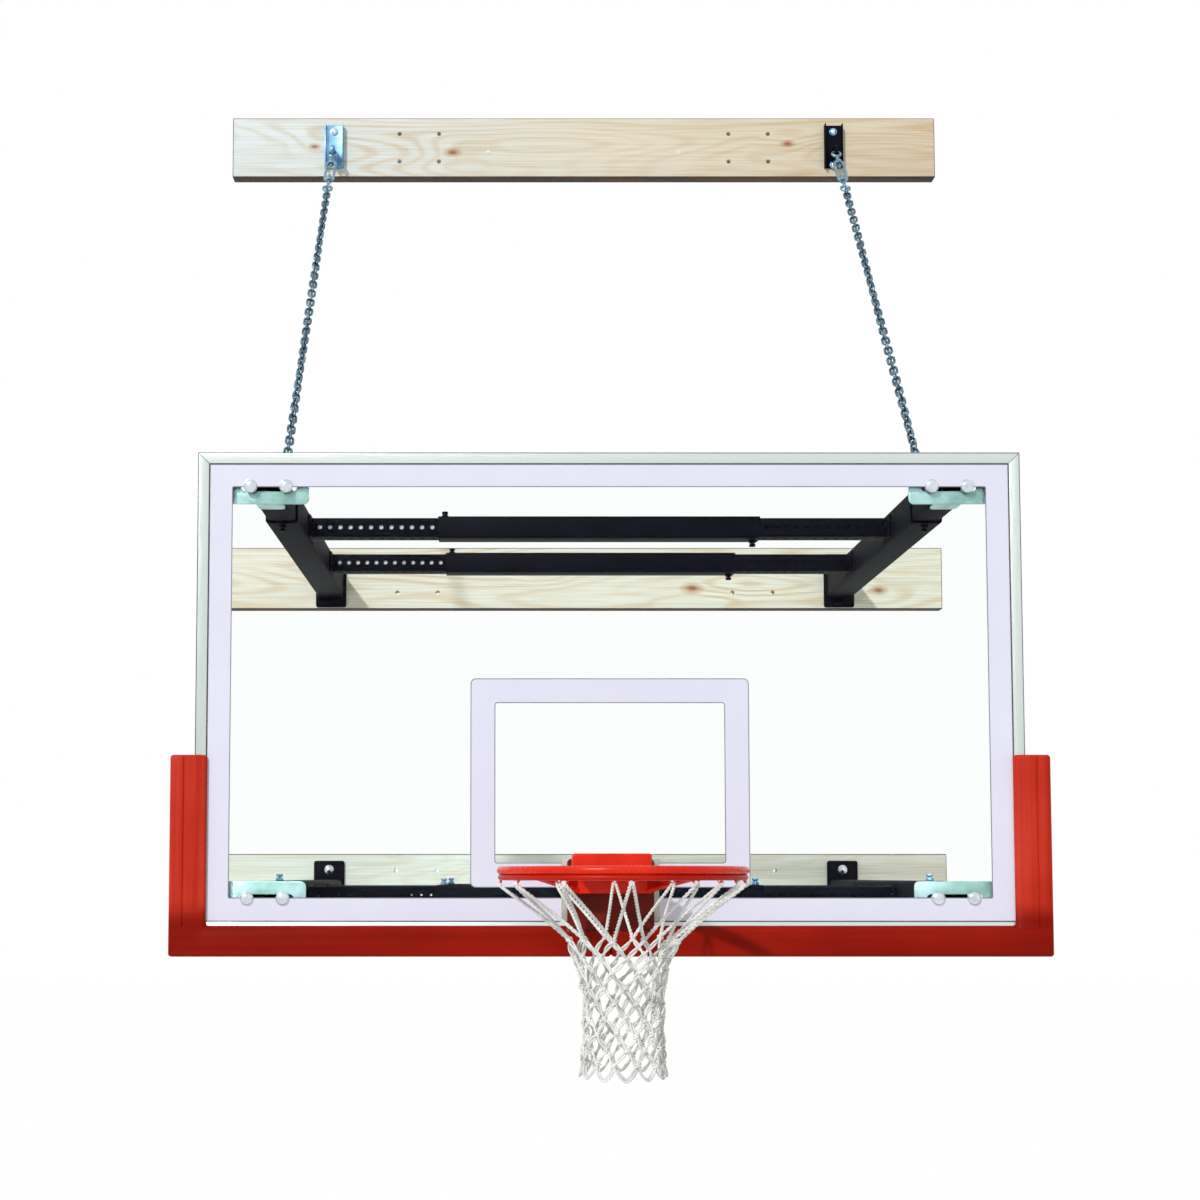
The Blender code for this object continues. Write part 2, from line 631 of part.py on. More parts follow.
def make_board_bolt(name, x, z, material, carrier):
    """A domed bolt through the glass and its bracket, with its nut behind them."""
    bm = bmesh.new()
    dome = []
    steps = 4
    for i in range(steps + 1):
        angle = math.pi / 2 * i / steps
        dome.append((BOARD_BOLT_HEAD_RADIUS * math.cos(angle), -BOARD_BOLT_HEAD_HEIGHT * math.sin(angle)))
    nut_start = GLASS_THICKNESS + 3 * GAP + BRACKET_THICKNESS
    nut_end = nut_start + BOARD_BOLT_NUT_HEIGHT
    profile = [(0, nut_end), (BOARD_BOLT_NUT_RADIUS, nut_end), (BOARD_BOLT_NUT_RADIUS, nut_start)]
    profile += [(BOARD_BOLT_RADIUS, nut_start), (BOARD_BOLT_RADIUS, 0), *dome[:-1]]
    profile.append((0, -BOARD_BOLT_HEAD_HEIGHT))
    points = [bm.verts.new((r, y, 0)) for r, y in profile]
    edges = [bm.edges.new(pair) for pair in zip(points, points[1:])]
    bmesh.ops.spin(
        bm, geom=points + edges, axis=(0, 1, 0), cent=(0, 0, 0), angle=2 * math.pi, steps=12, use_merge=True
    )
    bmesh.ops.remove_doubles(bm, verts=bm.verts, dist=1e-6)
    shade_round(add_object(name, bm, material, (x, GLASS_FRONT_Y - GAP, z), carrier=carrier))


def make_rim_support(material, carrier):
    """The steel block in the glass's notch that the rim is bolted to, standing on the bottom rail."""
    bm = bmesh.new()
    half = SUPPORT_WIDTH / 2
    low = BOARD_BOTTOM_Z + RAIL_LIP + GAP
    high = BOARD_BOTTOM_Z + SUPPORT_HEIGHT
    back = GLASS_BACK_Y + SUPPORT_BEHIND
    add_box(bm, (-half, RAIL_FRONT_Y, low), (half, back, high))
    support = add_object("rim_support", bm, material, carrier=carrier)
    hollow = bmesh.new()
    inside = half - SUPPORT_WALL
    behind = back + SUPPORT_WALL
    add_box(hollow, (-inside, GLASS_BACK_Y, low + SUPPORT_WALL), (inside, behind, high - SUPPORT_WALL))
    combine(support, hollow, "DIFFERENCE")


def ear_outline():
    """A hinge ear's side, as (y, z) from the pin: back at the plate, round at the front."""
    back = PIN_FORWARD + MOUNT_PLATE_THICKNESS / 2
    points = [(back, -EAR_RADIUS), (back, EAR_RADIUS)]
    steps = 6
    for i in range(steps + 1):
        angle = math.pi / 2 + math.pi * i / steps
        points.append((EAR_RADIUS * math.cos(angle), EAR_RADIUS * math.sin(angle)))
    return points


def make_rim_mount(material, carrier):
    """The plate bolted to the support, with the two ears that hold the breakaway pin."""
    bm = bmesh.new()
    half = MOUNT_PLATE_WIDTH / 2
    low = BOARD_BOTTOM_Z + MOUNT_PLATE_LOW - PIN_Z
    high = BOARD_BOTTOM_Z + SUPPORT_HEIGHT - PIN_Z
    add_box(bm, (-half, PIN_FORWARD, low), (half, PIN_FORWARD + MOUNT_PLATE_THICKNESS, high))
    mount = add_object("rim_mount_plate", bm, material, (0, PIN_Y, PIN_Z), carrier=carrier)
    ears = bmesh.new()
    for x in (-EAR_OFFSET, EAR_OFFSET):
        add_prism(ears, ear_outline(), x - EAR_THICKNESS / 2, x + EAR_THICKNESS / 2, "X")
    combine(mount, ears, "UNION")
    bore = bmesh.new()
    add_rod(bore, (-half, 0, 0), (half, 0, 0), PIN_RADIUS + RUNNING_CLEARANCE, 16)
    combine(mount, bore, "DIFFERENCE")


def make_hinge_pin(material, carrier):
    bm = bmesh.new()
    reach = HOUSING_WIDTH / 2 + PIN_OVERHANG
    add_rod(bm, (-reach, 0, 0), (reach, 0, 0), PIN_RADIUS, 16)
    shade_round(add_object("hinge_pin", bm, material, (0, PIN_Y, PIN_Z), carrier=carrier))


def spring_front():
    """How far before the pin the spring bolt's head starts."""
    return HOUSING_DEPTH - PIN_FORWARD - HOUSING_WALL - SPRING_HEAD_ROOM - SPRING_HEAD_THICKNESS


def make_spring_bolt(material, carrier):
    """The bolt that the return spring is held on. It stands in the mounting plate."""
    bm = bmesh.new()
    front = -spring_front()
    add_rod(bm, (0, PIN_FORWARD - GAP, 0), (0, front, 0), SPRING_BOLT_RADIUS, 12)
    place = (0, PIN_Y, PIN_Z + SPRING_ABOVE_PIN)
    bolt = add_object("spring_bolt", bm, material, place, carrier=carrier)
    head = bmesh.new()
    add_rod(head, (0, front + GAP, 0), (0, front - SPRING_HEAD_THICKNESS, 0), SPRING_HEAD_RADIUS, 16)
    combine(bolt, head, "UNION")
    shade_round(bolt)


def make_spring(material, carrier):
    """The compression spring between the housing's back wall and the bolt's head."""
    start = PIN_FORWARD - GAP - HOUSING_WALL - GAP - SPRING_WIRE_RADIUS
    end = -spring_front() + 2 * GAP + SPRING_WIRE_RADIUS
    steps = 9 * SPRING_TURNS
    points = []
    for i in range(steps + 1):
        angle = 2 * math.pi * i / 9
        y = start + (end - start) * i / steps
        points.append((SPRING_RADIUS * math.cos(angle), y, SPRING_RADIUS * math.sin(angle)))
    closest = (start - end) / SPRING_TURNS - 2 * SPRING_WIRE_RADIUS
    print(f"spring: {closest * 1000:.2f} mm between turns")
    bm = bmesh.new()
    add_swept_rod(bm, points, SPRING_WIRE_RADIUS, 6)
    place = (0, PIN_Y, PIN_Z + SPRING_ABOVE_PIN)
    shade_round(add_object("return_spring", bm, material, place, carrier=carrier))


def housing_side_outline():
    """A housing side wall, as (y, z) from the pin. Its foot leans forward, to swing clear of the plate."""
    top = HOUSING_HEIGHT - PIN_ABOVE_HOUSING
    back = PIN_FORWARD - GAP
    front = back - HOUSING_DEPTH
    return [(front, -PIN_ABOVE_HOUSING), (0, -PIN_ABOVE_HOUSING), (back, 0), (back, top), (front, top)]


def housing_walls():
    """The pressed housing that joins the ring to its hinge, open below, as overlapping walls."""
    walls = []
    half = HOUSING_WIDTH / 2
    top = HOUSING_HEIGHT - PIN_ABOVE_HOUSING
    back = PIN_FORWARD - GAP
    front = back - HOUSING_DEPTH
    for sign in (-1, 1):
        ends = sorted((sign * half, sign * (half - HOUSING_WALL)))
        shell = bmesh.new()
        add_prism(shell, housing_side_outline(), *ends, "X")
        walls.append(shell)
    inner = half - HOUSING_WALL / 2
    for low, high in (
        ((-inner, front, -PIN_ABOVE_HOUSING), (inner, front + HOUSING_WALL, top)),
        ((-inner, front + HOUSING_WALL / 2, top - HOUSING_WALL), (inner, back, top)),
        ((-inner, back - HOUSING_WALL, EAR_RADIUS + HOUSING_WALL), (inner, back, top - HOUSING_WALL / 2)),
    ):
        wall = bmesh.new()
        add_box(wall, low, high)
        walls.append(wall)
    return walls


def ring_point(angle, radius=RING_RADIUS, drop=0.0):
    """A point round the ring in the hinge's frame. Angle 0 is the rear, nearest the board."""
    x = radius * math.sin(angle)
    y = RING_Y - PIN_Y + radius * math.cos(angle)
    return Vector((x, y, RING_Z - PIN_Z - drop))


def hook_angles():
    """One hook is at the front centre."""
    return [math.pi + 2 * math.pi * i / HOOK_COUNT for i in range(HOOK_COUNT)]


def add_hook(bm, angle):
    """A U of rod under the ring, its two ends buried in the ring's underside."""
    centre = ring_point(angle)
    across = Vector((math.cos(angle), -math.sin(angle), 0))
    points = []
    steps = 6
    depth = RING_ROD_RADIUS * 0.8
    for i in range(steps + 1):
        turn = math.pi * i / steps
        offset = HOOK_RADIUS * math.cos(turn)
        drop = depth + HOOK_RADIUS + HOOK_RADIUS * math.sin(turn)
        points.append(centre + across * offset - Vector((0, 0, drop)))
    points.insert(0, points[0] + Vector((0, 0, HOOK_RADIUS)))
    points.append(points[-1] + Vector((0, 0, HOOK_RADIUS)))
    add_swept_rod(bm, points, HOOK_ROD_RADIUS, 6)


def make_rim(material, carrier):
    """The ring, its housing, neck plate, two braces and net hooks, welded into one piece."""
    bm = bmesh.new()
    points = [ring_point(2 * math.pi * i / 48) for i in range(48)]
    add_swept_rod(bm, points, RING_ROD_RADIUS, 10, closed=True)
    rim = add_object("rim_ring", bm, material, (0, PIN_Y, PIN_Z), carrier=carrier)
    for wall in housing_walls():
        combine(rim, wall, "UNION")
    neck = bmesh.new()
    back = PIN_FORWARD - GAP - HOUSING_DEPTH + HOUSING_WALL / 2
    half = HOUSING_WIDTH / 2 - HOUSING_WALL
    reach = ring_point(math.asin(half / RING_RADIUS)).y
    level = RING_Z - PIN_Z
    thick = NECK_THICKNESS / 2
    add_box(neck, (-half, reach, level - thick), (half, back, level + thick))
    combine(rim, neck, "UNION")
    for sign in (-1, 1):
        brace = bmesh.new()
        foot = Vector((sign * (half - BRACE_RADIUS), back, BRACE_RADIUS - PIN_ABOVE_HOUSING))
        add_rod(brace, foot, ring_point(sign * BRACE_ANGLE, drop=RING_ROD_RADIUS / 2), BRACE_RADIUS, 8)
        combine(rim, brace, "UNION")
    hooks = bmesh.new()
    for angle in hook_angles():
        add_hook(hooks, angle)
    combine(rim, hooks, "UNION")
    bore = bmesh.new()
    add_rod(bore, (-HOUSING_WIDTH, 0, 0), (HOUSING_WIDTH, 0, 0), PIN_RADIUS + RUNNING_CLEARANCE, 16)
    slot_half = SPRING_BOLT_RADIUS + SPRING_SLOT_CLEARANCE
    low = (-slot_half, PIN_FORWARD - 2 * HOUSING_WALL, SPRING_ABOVE_PIN - SPRING_SLOT_HEIGHT / 2)
    high = (slot_half, PIN_FORWARD + HOUSING_WALL, SPRING_ABOVE_PIN + SPRING_SLOT_HEIGHT / 2)
    add_box(bore, low, high)
    combine(rim, bore, "DIFFERENCE")
    shade_round(rim)


def net_radius(drop):
    """The net draws in below the ring, runs nearly straight and flares a little at its foot."""
    share = (drop - NET_FIRST_DROP) / (NET_LAST_DROP - NET_FIRST_DROP)
    shoulder = NET_SHOULDER * math.exp(-(drop - NET_FIRST_DROP) / NET_SHOULDER_FALL)
    return NET_WAIST_RADIUS + shoulder + NET_FLARE * share**4


def make_net(material, carrier):
    """The knotted net: one diamond under each hook, then rows of diamonds, as one web of cord."""
    hook_low = RING_ROD_RADIUS * 0.8 + 2 * HOOK_RADIUS + HOOK_ROD_RADIUS
    rows = [[ring_point(angle, drop=hook_low + NET_BELOW_HOOK) for angle in hook_angles()]]
    for row in range(NET_ROWS):
        drop = NET_FIRST_DROP + (NET_LAST_DROP - NET_FIRST_DROP) * row / (NET_ROWS - 1)
        shift = math.pi / HOOK_COUNT if row % 2 == 0 else 0
        rows.append([ring_point(angle + shift, net_radius(drop), drop) for angle in hook_angles()])
    bm = bmesh.new()
    knots = [[bm.verts.new(point) for point in row] for row in rows]
    for row in range(len(knots) - 2):
        # Odd rows of knots lie half a step on, so a diamond's side knots are i - 1 and i, or i and i + 1.
        back = -1 if row % 2 == 0 else 0
        for i in range(HOOK_COUNT):
            left = knots[row + 1][(i + back) % HOOK_COUNT]
            right = knots[row + 1][(i + back + 1) % HOOK_COUNT]
            bm.faces.new((knots[row][i], left, knots[row + 2][i], right))
    net = add_object("net", bm, material, (0, PIN_Y, PIN_Z), carrier=carrier)
    cord = net.modifiers.new("cord", "WIREFRAME")
    cord.thickness = NET_CORD
    cord.use_even_offset = False
    cord.use_boundary = True
    cord.use_replace = True


def make_pad(side, sign, material, carrier):
    """Half of the moulded edge pad: an L that wraps the frame's lower corner."""
    bm = bmesh.new()
    half_board = BOARD_WIDTH / 2
    outer = half_board + PAD_OUTSIDE
    foot = BOARD_BOTTOM_Z - PAD_OUTSIDE
    head = BOARD_BOTTOM_Z + PAD_RISE
    front = RAIL_FRONT_Y - PAD_FRONT
    back = RAIL_FRONT_Y + RAIL_DEPTH + PAD_BEHIND
    corner = []
    steps = 5
    for i in range(steps + 1):
        angle = math.pi / 2 * i / steps
        x = outer - PAD_CORNER + PAD_CORNER * math.sin(angle)
        z = foot + PAD_CORNER - PAD_CORNER * math.cos(angle)
        corner.append((x, z))
    inside_x = half_board - PAD_SIDE_COVER
    inside_z = BOARD_BOTTOM_Z + PAD_BOTTOM_COVER
    outline = [(GAP, inside_z), (GAP, foot), *corner, (outer, head), (inside_x, head), (inside_x, inside_z)]
    if sign < 0:
        outline = [(-x, z) for x, z in outline]
    add_prism(bm, outline, front, back, "Y")
    pad = add_object(f"edge_pad_{side}", bm, material, carrier=carrier)
    pocket = bmesh.new()
    pocket_x = sorted((sign * (half_board + GAP), -sign * half_board))
    pocket_back = RAIL_FRONT_Y + RAIL_DEPTH + GAP
    low = (pocket_x[0], RAIL_FRONT_Y - GAP, BOARD_BOTTOM_Z - GAP)
    add_box(pocket, low, (pocket_x[1], pocket_back, BOARD_TOP_Z))
    combine(pad, pocket, "DIFFERENCE")
    relief = bmesh.new()
    wide = MOUNT_PLATE_WIDTH / 2 + 2 * GAP
    low = (-wide, front - PAD_FRONT, BOARD_BOTTOM_Z + MOUNT_PLATE_LOW - 2 * GAP)
    add_box(relief, low, (wide, RAIL_FRONT_Y, inside_z + PAD_BOTTOM_COVER))
    combine(pad, relief, "DIFFERENCE")


def build():
    clear_scene()
    wood = finish("pine", (0.72, 0.58, 0.40), 0.6)
    black = finish("black_powder_coat", (0.008, 0.008, 0.015), 0.35)
    zinc = finish("zinc_plate", (0.45, 0.50, 0.52), 0.35, metallic=1.0)
    silver = finish("aluminium", (0.80, 0.82, 0.82), 0.3, metallic=1.0)
    clear = finish("clear_glass", (0.90, 0.95, 0.93), 0.0, transmission=1.0)
    red = finish("red_enamel", (0.79, 0.02, 0.005), 0.35)
    rubber = finish("red_pad", (0.50, 0.02, 0.004), 0.5)
    cord = finish("white_cord", (0.85, 0.85, 0.83), 0.8)

    wall = add_empty("wall_frame", (0, 0, 0))
    board = add_empty("backboard_slide", (0, GLASS_FRONT_Y, 0))
    hinge = add_empty("breakaway_axis", (0, PIN_Y, PIN_Z))

    make_wall_board("wall_board_top", TOP_BOARD_Z, wood, wall)
    make_wall_board("wall_board_middle", 0, wood, wall)
    make_wall_board("wall_board_bottom", BOTTOM_BOARD_Z, wood, wall)
    for side, sign in SIDES:
        make_chain_bracket(side, sign, zinc, wall)
        make_chain_run(side, sign, zinc, zinc, wall)
    for row, z in ARM_ROWS:
        for side, sign in SIDES:
            make_arm_sleeve(row, side, sign, z, black, wall)
            make_arm_inner(row, side, sign, z, black, board)
            make_board_bracket(row, side, sign, z, zinc, board)
        for depth, behind in (("front", CROSS_FRONT_BEHIND_GLASS), ("rear", CROSS_REAR_BEHIND_GLASS)):
            make_cross_tube(f"{row}_{depth}", GLASS_FRONT_Y + behind, z, row == "upper", black, wall)

    make_glass(clear, board)
    make_frame(silver, board)
    for name, x, z in board_bolt_places():
        make_board_bolt(f"board_bolt_{name}", x, z, silver, board)
    for side, sign in SIDES:
        make_pad(side, sign, rubber, board)
    make_rim_support(zinc, board)
    make_rim_mount(red, board)
    make_hinge_pin(zinc, board)
    make_spring_bolt(zinc, board)
    make_spring(zinc, board)
    make_rim(red, hinge)
    make_net(cord, hinge)


build()
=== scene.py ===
# %% [markdown]
# A wall-mounted basketball hoop, piece by piece.
# The engineering model is loaded first, as a fixed frame. Every visible piece is then modelled at
# its place in that frame, in metres, with X to the right, Y into the wall and Z up.

# %% Load the frame
import math
import random

import bmesh
import bpy
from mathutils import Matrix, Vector


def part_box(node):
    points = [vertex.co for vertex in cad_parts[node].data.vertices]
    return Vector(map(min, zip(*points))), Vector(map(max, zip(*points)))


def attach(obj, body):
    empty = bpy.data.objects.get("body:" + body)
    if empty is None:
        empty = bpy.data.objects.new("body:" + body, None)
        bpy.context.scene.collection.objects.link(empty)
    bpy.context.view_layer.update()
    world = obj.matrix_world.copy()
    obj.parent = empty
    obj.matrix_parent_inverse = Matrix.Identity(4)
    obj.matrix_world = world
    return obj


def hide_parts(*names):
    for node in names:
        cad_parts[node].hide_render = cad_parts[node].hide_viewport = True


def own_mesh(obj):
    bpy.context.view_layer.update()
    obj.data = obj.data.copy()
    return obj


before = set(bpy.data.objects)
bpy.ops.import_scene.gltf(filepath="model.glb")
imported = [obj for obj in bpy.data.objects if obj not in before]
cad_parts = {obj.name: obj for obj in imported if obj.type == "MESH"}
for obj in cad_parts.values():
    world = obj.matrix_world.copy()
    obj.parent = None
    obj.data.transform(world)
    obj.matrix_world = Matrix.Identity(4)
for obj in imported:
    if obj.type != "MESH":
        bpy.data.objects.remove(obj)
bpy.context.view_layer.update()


def in_mm(lengths):
    """Lengths in millimetres, for printing."""
    return [round(length * 1000, 1) for length in lengths]


# %% [markdown]
# The camera stands a little left of the hoop's middle, below the board and level with the ring,
# tipped up by about three degrees. The photograph is a crop of a wider view, which is why its
# optical centre isn't the picture's middle. A lens shift does the same here without bending the
# upright lines.

# %% The camera
PHOTO_SIZE = 1200
FOCAL_PIXELS = 1539
OPTICAL_CENTRE = (515, 787)
EYE = (-0.209, -4.597, -0.887)
TIPPED_UP = math.radians(3.3)

lens = bpy.data.cameras.new("camera")
lens.sensor_width = 36
lens.lens = FOCAL_PIXELS / PHOTO_SIZE * lens.sensor_width
lens.shift_x = (PHOTO_SIZE / 2 - OPTICAL_CENTRE[0]) / PHOTO_SIZE
lens.shift_y = (OPTICAL_CENTRE[1] - PHOTO_SIZE / 2) / PHOTO_SIZE
camera = bpy.data.objects.new("camera", lens)
camera.location = EYE
camera.rotation_euler = (math.pi / 2 + TIPPED_UP, 0, 0)
bpy.context.scene.collection.objects.link(camera)
bpy.context.scene.camera = camera
bpy.context.scene.view_settings.view_transform = "Standard"
print("lens:", round(lens.lens, 2), "mm")

# %% [markdown]
# Materials are built from nodes. A small helper keeps that readable: it adds a node, sets its
# options and either fills each input with a value or joins it to another node's output.

# %% Helpers for materials
def add_node(tree, kind, inputs=None, **options):
    """Adds a node. An input that is given a socket is linked to it, and any other is set."""
    node = tree.nodes.new(kind)
    for option, value in options.items():
        setattr(node, option, value)
    for name, value in (inputs or {}).items():
        if isinstance(value, bpy.types.NodeSocket):
            tree.links.new(value, node.inputs[name])
        else:
            node.inputs[name].default_value = value
    return node


def colour(red, green, blue):
    """A screen colour of 0 to 255 as the linear colour that a shader wants."""
    linear = []
    for level in (red, green, blue):
        share = level / 255
        linear.append(share / 12.92 if share <= 0.04045 else ((share + 0.055) / 1.055) ** 2.4)
    return (*linear, 1.0)


def add_ramp(tree, factor, stops):
    """A colour ramp through (place, screen colour) stops."""
    ramp = add_node(tree, "ShaderNodeValToRGB", {"Fac": factor})
    elements = ramp.color_ramp.elements
    while len(elements) < len(stops):
        elements.new(0.5)
    for element, (place, tone) in zip(elements, stops):
        element.position = place
        element.color = colour(*tone)
    return ramp.outputs["Color"]


def calculate(tree, operation, *values):
    """The sum, the product or another operation on one to three numbers."""
    inputs = dict(enumerate(values))
    return add_node(tree, "ShaderNodeMath", inputs, operation=operation).outputs[0]


def mix_colours(tree, share, first, second, blend="MIX"):
    """Mixes two colours, or multiplies the second onto the first, by a share."""
    inputs = {0: share, 6: first, 7: second}
    return add_node(tree, "ShaderNodeMix", inputs, data_type="RGBA", blend_type=blend).outputs[2]


def add_noise(tree, scale, stretch=(1, 1, 1), detail=4.0, shift=(0, 0, 0)):
    """Noise in the piece's own metres. A stretch below 1 draws it out along that axis."""
    place = add_node(tree, "ShaderNodeTexCoord").outputs["Object"]
    inputs = {"Vector": place, "Scale": stretch, "Location": shift}
    mapped = add_node(tree, "ShaderNodeMapping", inputs).outputs["Vector"]
    inputs = {"Vector": mapped, "Scale": scale, "Detail": detail}
    return add_node(tree, "ShaderNodeTexNoise", inputs).outputs["Fac"]


def spread(tree, factor, low, high, start=0.3, end=0.7):
    """Maps a factor onto a range of values."""
    inputs = {"Value": factor, "From Min": start, "From Max": end, "To Min": low, "To Max": high}
    return add_node(tree, "ShaderNodeMapRange", inputs).outputs["Result"]


def new_finish(name, slot, metallic=0.0):
    """An empty finish with its Principled shader, and a note of the part's own material slot."""
    material = bpy.data.materials.new(name)
    material.use_nodes = True
    material["slot"] = slot
    shader = material.node_tree.nodes["Principled BSDF"]
    shader.inputs["Metallic"].default_value = metallic
    return material, material.node_tree, shader


def drive(tree, shader, base, roughness, bump=None, depth=0.0002, strength=0.5):
    """Joins a colour, a roughness and a bump height to the shader."""
    tree.links.new(base, shader.inputs["Base Color"])
    tree.links.new(roughness, shader.inputs["Roughness"])
    if bump is not None:
        inputs = {"Height": bump, "Distance": depth, "Strength": strength}
        node = add_node(tree, "ShaderNodeBump", inputs)
        tree.links.new(node.outputs["Normal"], shader.inputs["Normal"])


# %% [markdown]
# Two-tone finishes suit most metal and paint: a broad noise drifts between two close tones, and a
# fine one moves the gloss and the bump. The tones, the scale and the gloss say which material it
# is.

# %% A two-tone finish
def two_tone(
    name, slot, dark, light, gloss,
    metallic=0.0, broad=9.0, fine=350.0, depth=0.0001, stretch=(1, 1, 1),
):
    """A finish between two tones, with a roughness range and a fine bump."""
    material, tree, shader = new_finish(name, slot, metallic)
    patches = add_noise(tree, broad, stretch)
    texture = add_noise(tree, fine, stretch, detail=2.0)
    base = add_ramp(tree, patches, [(0.3, dark), (0.7, light)])
    drive(tree, shader, base, spread(tree, texture, *gloss), texture, depth)
    return material


def dull(material, level):
    """Sets how much of the room a painted or coated finish mirrors."""
    material.node_tree.nodes["Principled BSDF"].inputs["Specular IOR Level"].default_value = level


# %% [markdown]
# The steel tubes are powder coated, nearly black with a blue cast. The baked powder has a fine
# orange peel, so its gloss is broken up. A low specular level keeps the bright room from greying
# it.

# %% Black powder coat
black_coat = two_tone(
    "black_coat", "black_steel", (4, 5, 13), (10, 11, 26), (0.48, 0.6), fine=500, depth=0.00004
)
dull(black_coat, 0.06)
print("coat:", black_coat.name)

# %% [markdown]
# Zinc plate is a thin, slightly green or blue metal skin. On the corner plates it is pale and matt.
# The turnbuckles are greyer, and the chain's links are darker still. The bolts' chrome and the
# spring's wire are all metal, and smoother.

# %% Zinc, bright bolts and spring wire
def plated(name, dark, light, gloss, metallic, broad):
    """A finish on zinc-plated steel."""
    return two_tone(name, "zinc_plated_steel", dark, light, gloss, metallic, broad)


zinc = plated("zinc_plate", (122, 164, 154), (200, 232, 238), (0.3, 0.48), 0.85, 14)
blue_zinc = plated("blue_zinc", (84, 138, 182), (150, 194, 220), (0.28, 0.45), 0.9, 35)
buckle_zinc = plated("buckle_zinc", (84, 116, 136), (158, 190, 206), (0.28, 0.45), 0.9, 60)
chain_zinc = plated("chain_zinc", (40, 62, 80), (126, 156, 172), (0.25, 0.45), 0.9, 90)
# A pale finish for the tube linings, painted light in place of the bright room behind the holes.
painted_light_lining = plated("painted_light_lining", (214, 222, 226), (238, 242, 244), (0.5, 0.7), 0.1, 30)
block_grey = plated("block_grey", (166, 164, 152), (202, 200, 188), (0.4, 0.6), 0.4, 24)
bright = two_tone(
    "bright_bolt", "bright_steel", (196, 206, 214), (232, 238, 242), (0.12, 0.24), 1.0, broad=60
)
spring_wire = two_tone(
    "spring_wire", "spring_steel", (84, 86, 92), (128, 130, 136), (0.25, 0.4), 1.0, broad=80
)
print("plated:", [finish.name for finish in (zinc, blue_zinc, buckle_zinc, chain_zinc, painted_light_lining)])

# %% [markdown]
# The board's frame is extruded aluminium. The die leaves faint lines along each rail, so the noise
# is drawn out along X for the level rails and along Z for the upright ones. Its chamfered edge and
# the rubber seal beside it are darker.

# %% Extruded aluminium and its seal
def extruded(name, stretch):
    """Pale aluminium with its die lines drawn out along one axis."""
    tones = ((192, 202, 198), (226, 234, 230))
    return two_tone(name, "aluminium_frame", *tones, (0.26, 0.4), 0.8, fine=420, stretch=stretch)


level_rail = extruded("rail_level", (0.03, 1, 1))
upright_rail = extruded("rail_upright", (1, 1, 0.03))
rail_edge = two_tone(
    "rail_edge", "aluminium_frame", (84, 92, 92), (118, 126, 124), (0.35, 0.5), 0.6, broad=40
)
seal_rubber = two_tone(
    "seal_rubber", "aluminium_frame", (58, 62, 64), (84, 88, 88), (0.6, 0.8), broad=40
)
print("frame:", [finish.name for finish in (level_rail, upright_rail, rail_edge, seal_rubber)])

# %% [markdown]
# The rim is coated a bright orange red, smooth and fairly glossy. The lower bar and the webs, which
# see little of the sky, have a darker copy of it as painted shade, and the mounting plate behind
# the housing the darkest copy, as painted shade too.

# %% Red enamel
def red_coat(name, dark, light, gloss, mirroring):
    """The rim's enamel, or a copy of it darkened as painted shade."""
    material = two_tone(name, "red_enamel", dark, light, gloss, broad=14, fine=240)
    dull(material, mirroring)
    return material


enamel = red_coat("red_enamel", (214, 26, 2), (234, 46, 10), (0.2, 0.32), 0.25)
# Two darker copies of the same enamel, as painted shade.
painted_shade_plate_enamel = red_coat("painted_shade_plate_enamel", (92, 20, 12), (122, 28, 16), (0.35, 0.5), 0.15)
painted_shade_under_enamel = red_coat("painted_shade_under_enamel", (172, 18, 2), (198, 30, 8), (0.3, 0.42), 0.15)
print("enamel:", [finish.name for finish in (enamel, painted_shade_plate_enamel, painted_shade_under_enamel)])

# %% [markdown]
# The edge pad is moulded foam with a tough red skin. The skin shows long flow lines, upright on the
# side legs and level along the foot, and a softer gloss than the enamel. The legs are painted paler
# than the foot as painted light, and the foot darker as painted shade. The two directions are mixed
# by height, because one noise can only be drawn out one way.

# %% Moulded pad skin
PAD_LEG_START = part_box("frame_rail_bottom")[0].z + 0.03
PAD_LEG_BLEND = 0.04
FLOW_SCALE = 60
FLOW_DRAWN = 0.02
# Darker tones for the foot as painted shade, paler ones for the legs as painted light.
FOOT_PAINTED_SHADE_TONES = [(0.3, (124, 16, 4)), (0.5, (140, 20, 5)), (0.72, (162, 28, 10))]
LEG_PAINTED_LIGHT_TONES = [(0.3, (168, 34, 16)), (0.5, (194, 50, 32)), (0.72, (216, 74, 56))]


def pad_skin():
    material, tree, shader = new_finish("pad_skin", "red_pad")
    place = add_node(tree, "ShaderNodeTexCoord").outputs["Object"]
    height = add_node(tree, "ShaderNodeSeparateXYZ", {"Vector": place}).outputs["Z"]
    leg = spread(tree, height, 0.0, 1.0, PAD_LEG_START, PAD_LEG_START + PAD_LEG_BLEND)
    upright = add_noise(tree, FLOW_SCALE, (1, 1, FLOW_DRAWN))
    level = add_noise(tree, FLOW_SCALE, (FLOW_DRAWN, 1, 1))
    flow = add_node(tree, "ShaderNodeMix", {0: leg, 2: level, 3: upright}).outputs[0]
    skin = add_noise(tree, 500, detail=3.0)
    broad = add_noise(tree, 5)
    shade = calculate(tree, "MULTIPLY", calculate(tree, "ADD", flow, broad), 0.5)
    # The height share also sets the foot's painted shade against the legs' painted light.
    foot_in_painted_shade = add_ramp(tree, shade, FOOT_PAINTED_SHADE_TONES)
    leg_in_painted_light = add_ramp(tree, shade, LEG_PAINTED_LIGHT_TONES)
    base = mix_colours(tree, leg, foot_in_painted_shade, leg_in_painted_light)
    relief = calculate(tree, "ADD", skin, flow)
    drive(tree, shader, base, spread(tree, flow, 0.34, 0.5), relief, 0.0002, 0.4)
    dull(material, 0.07)
    return material


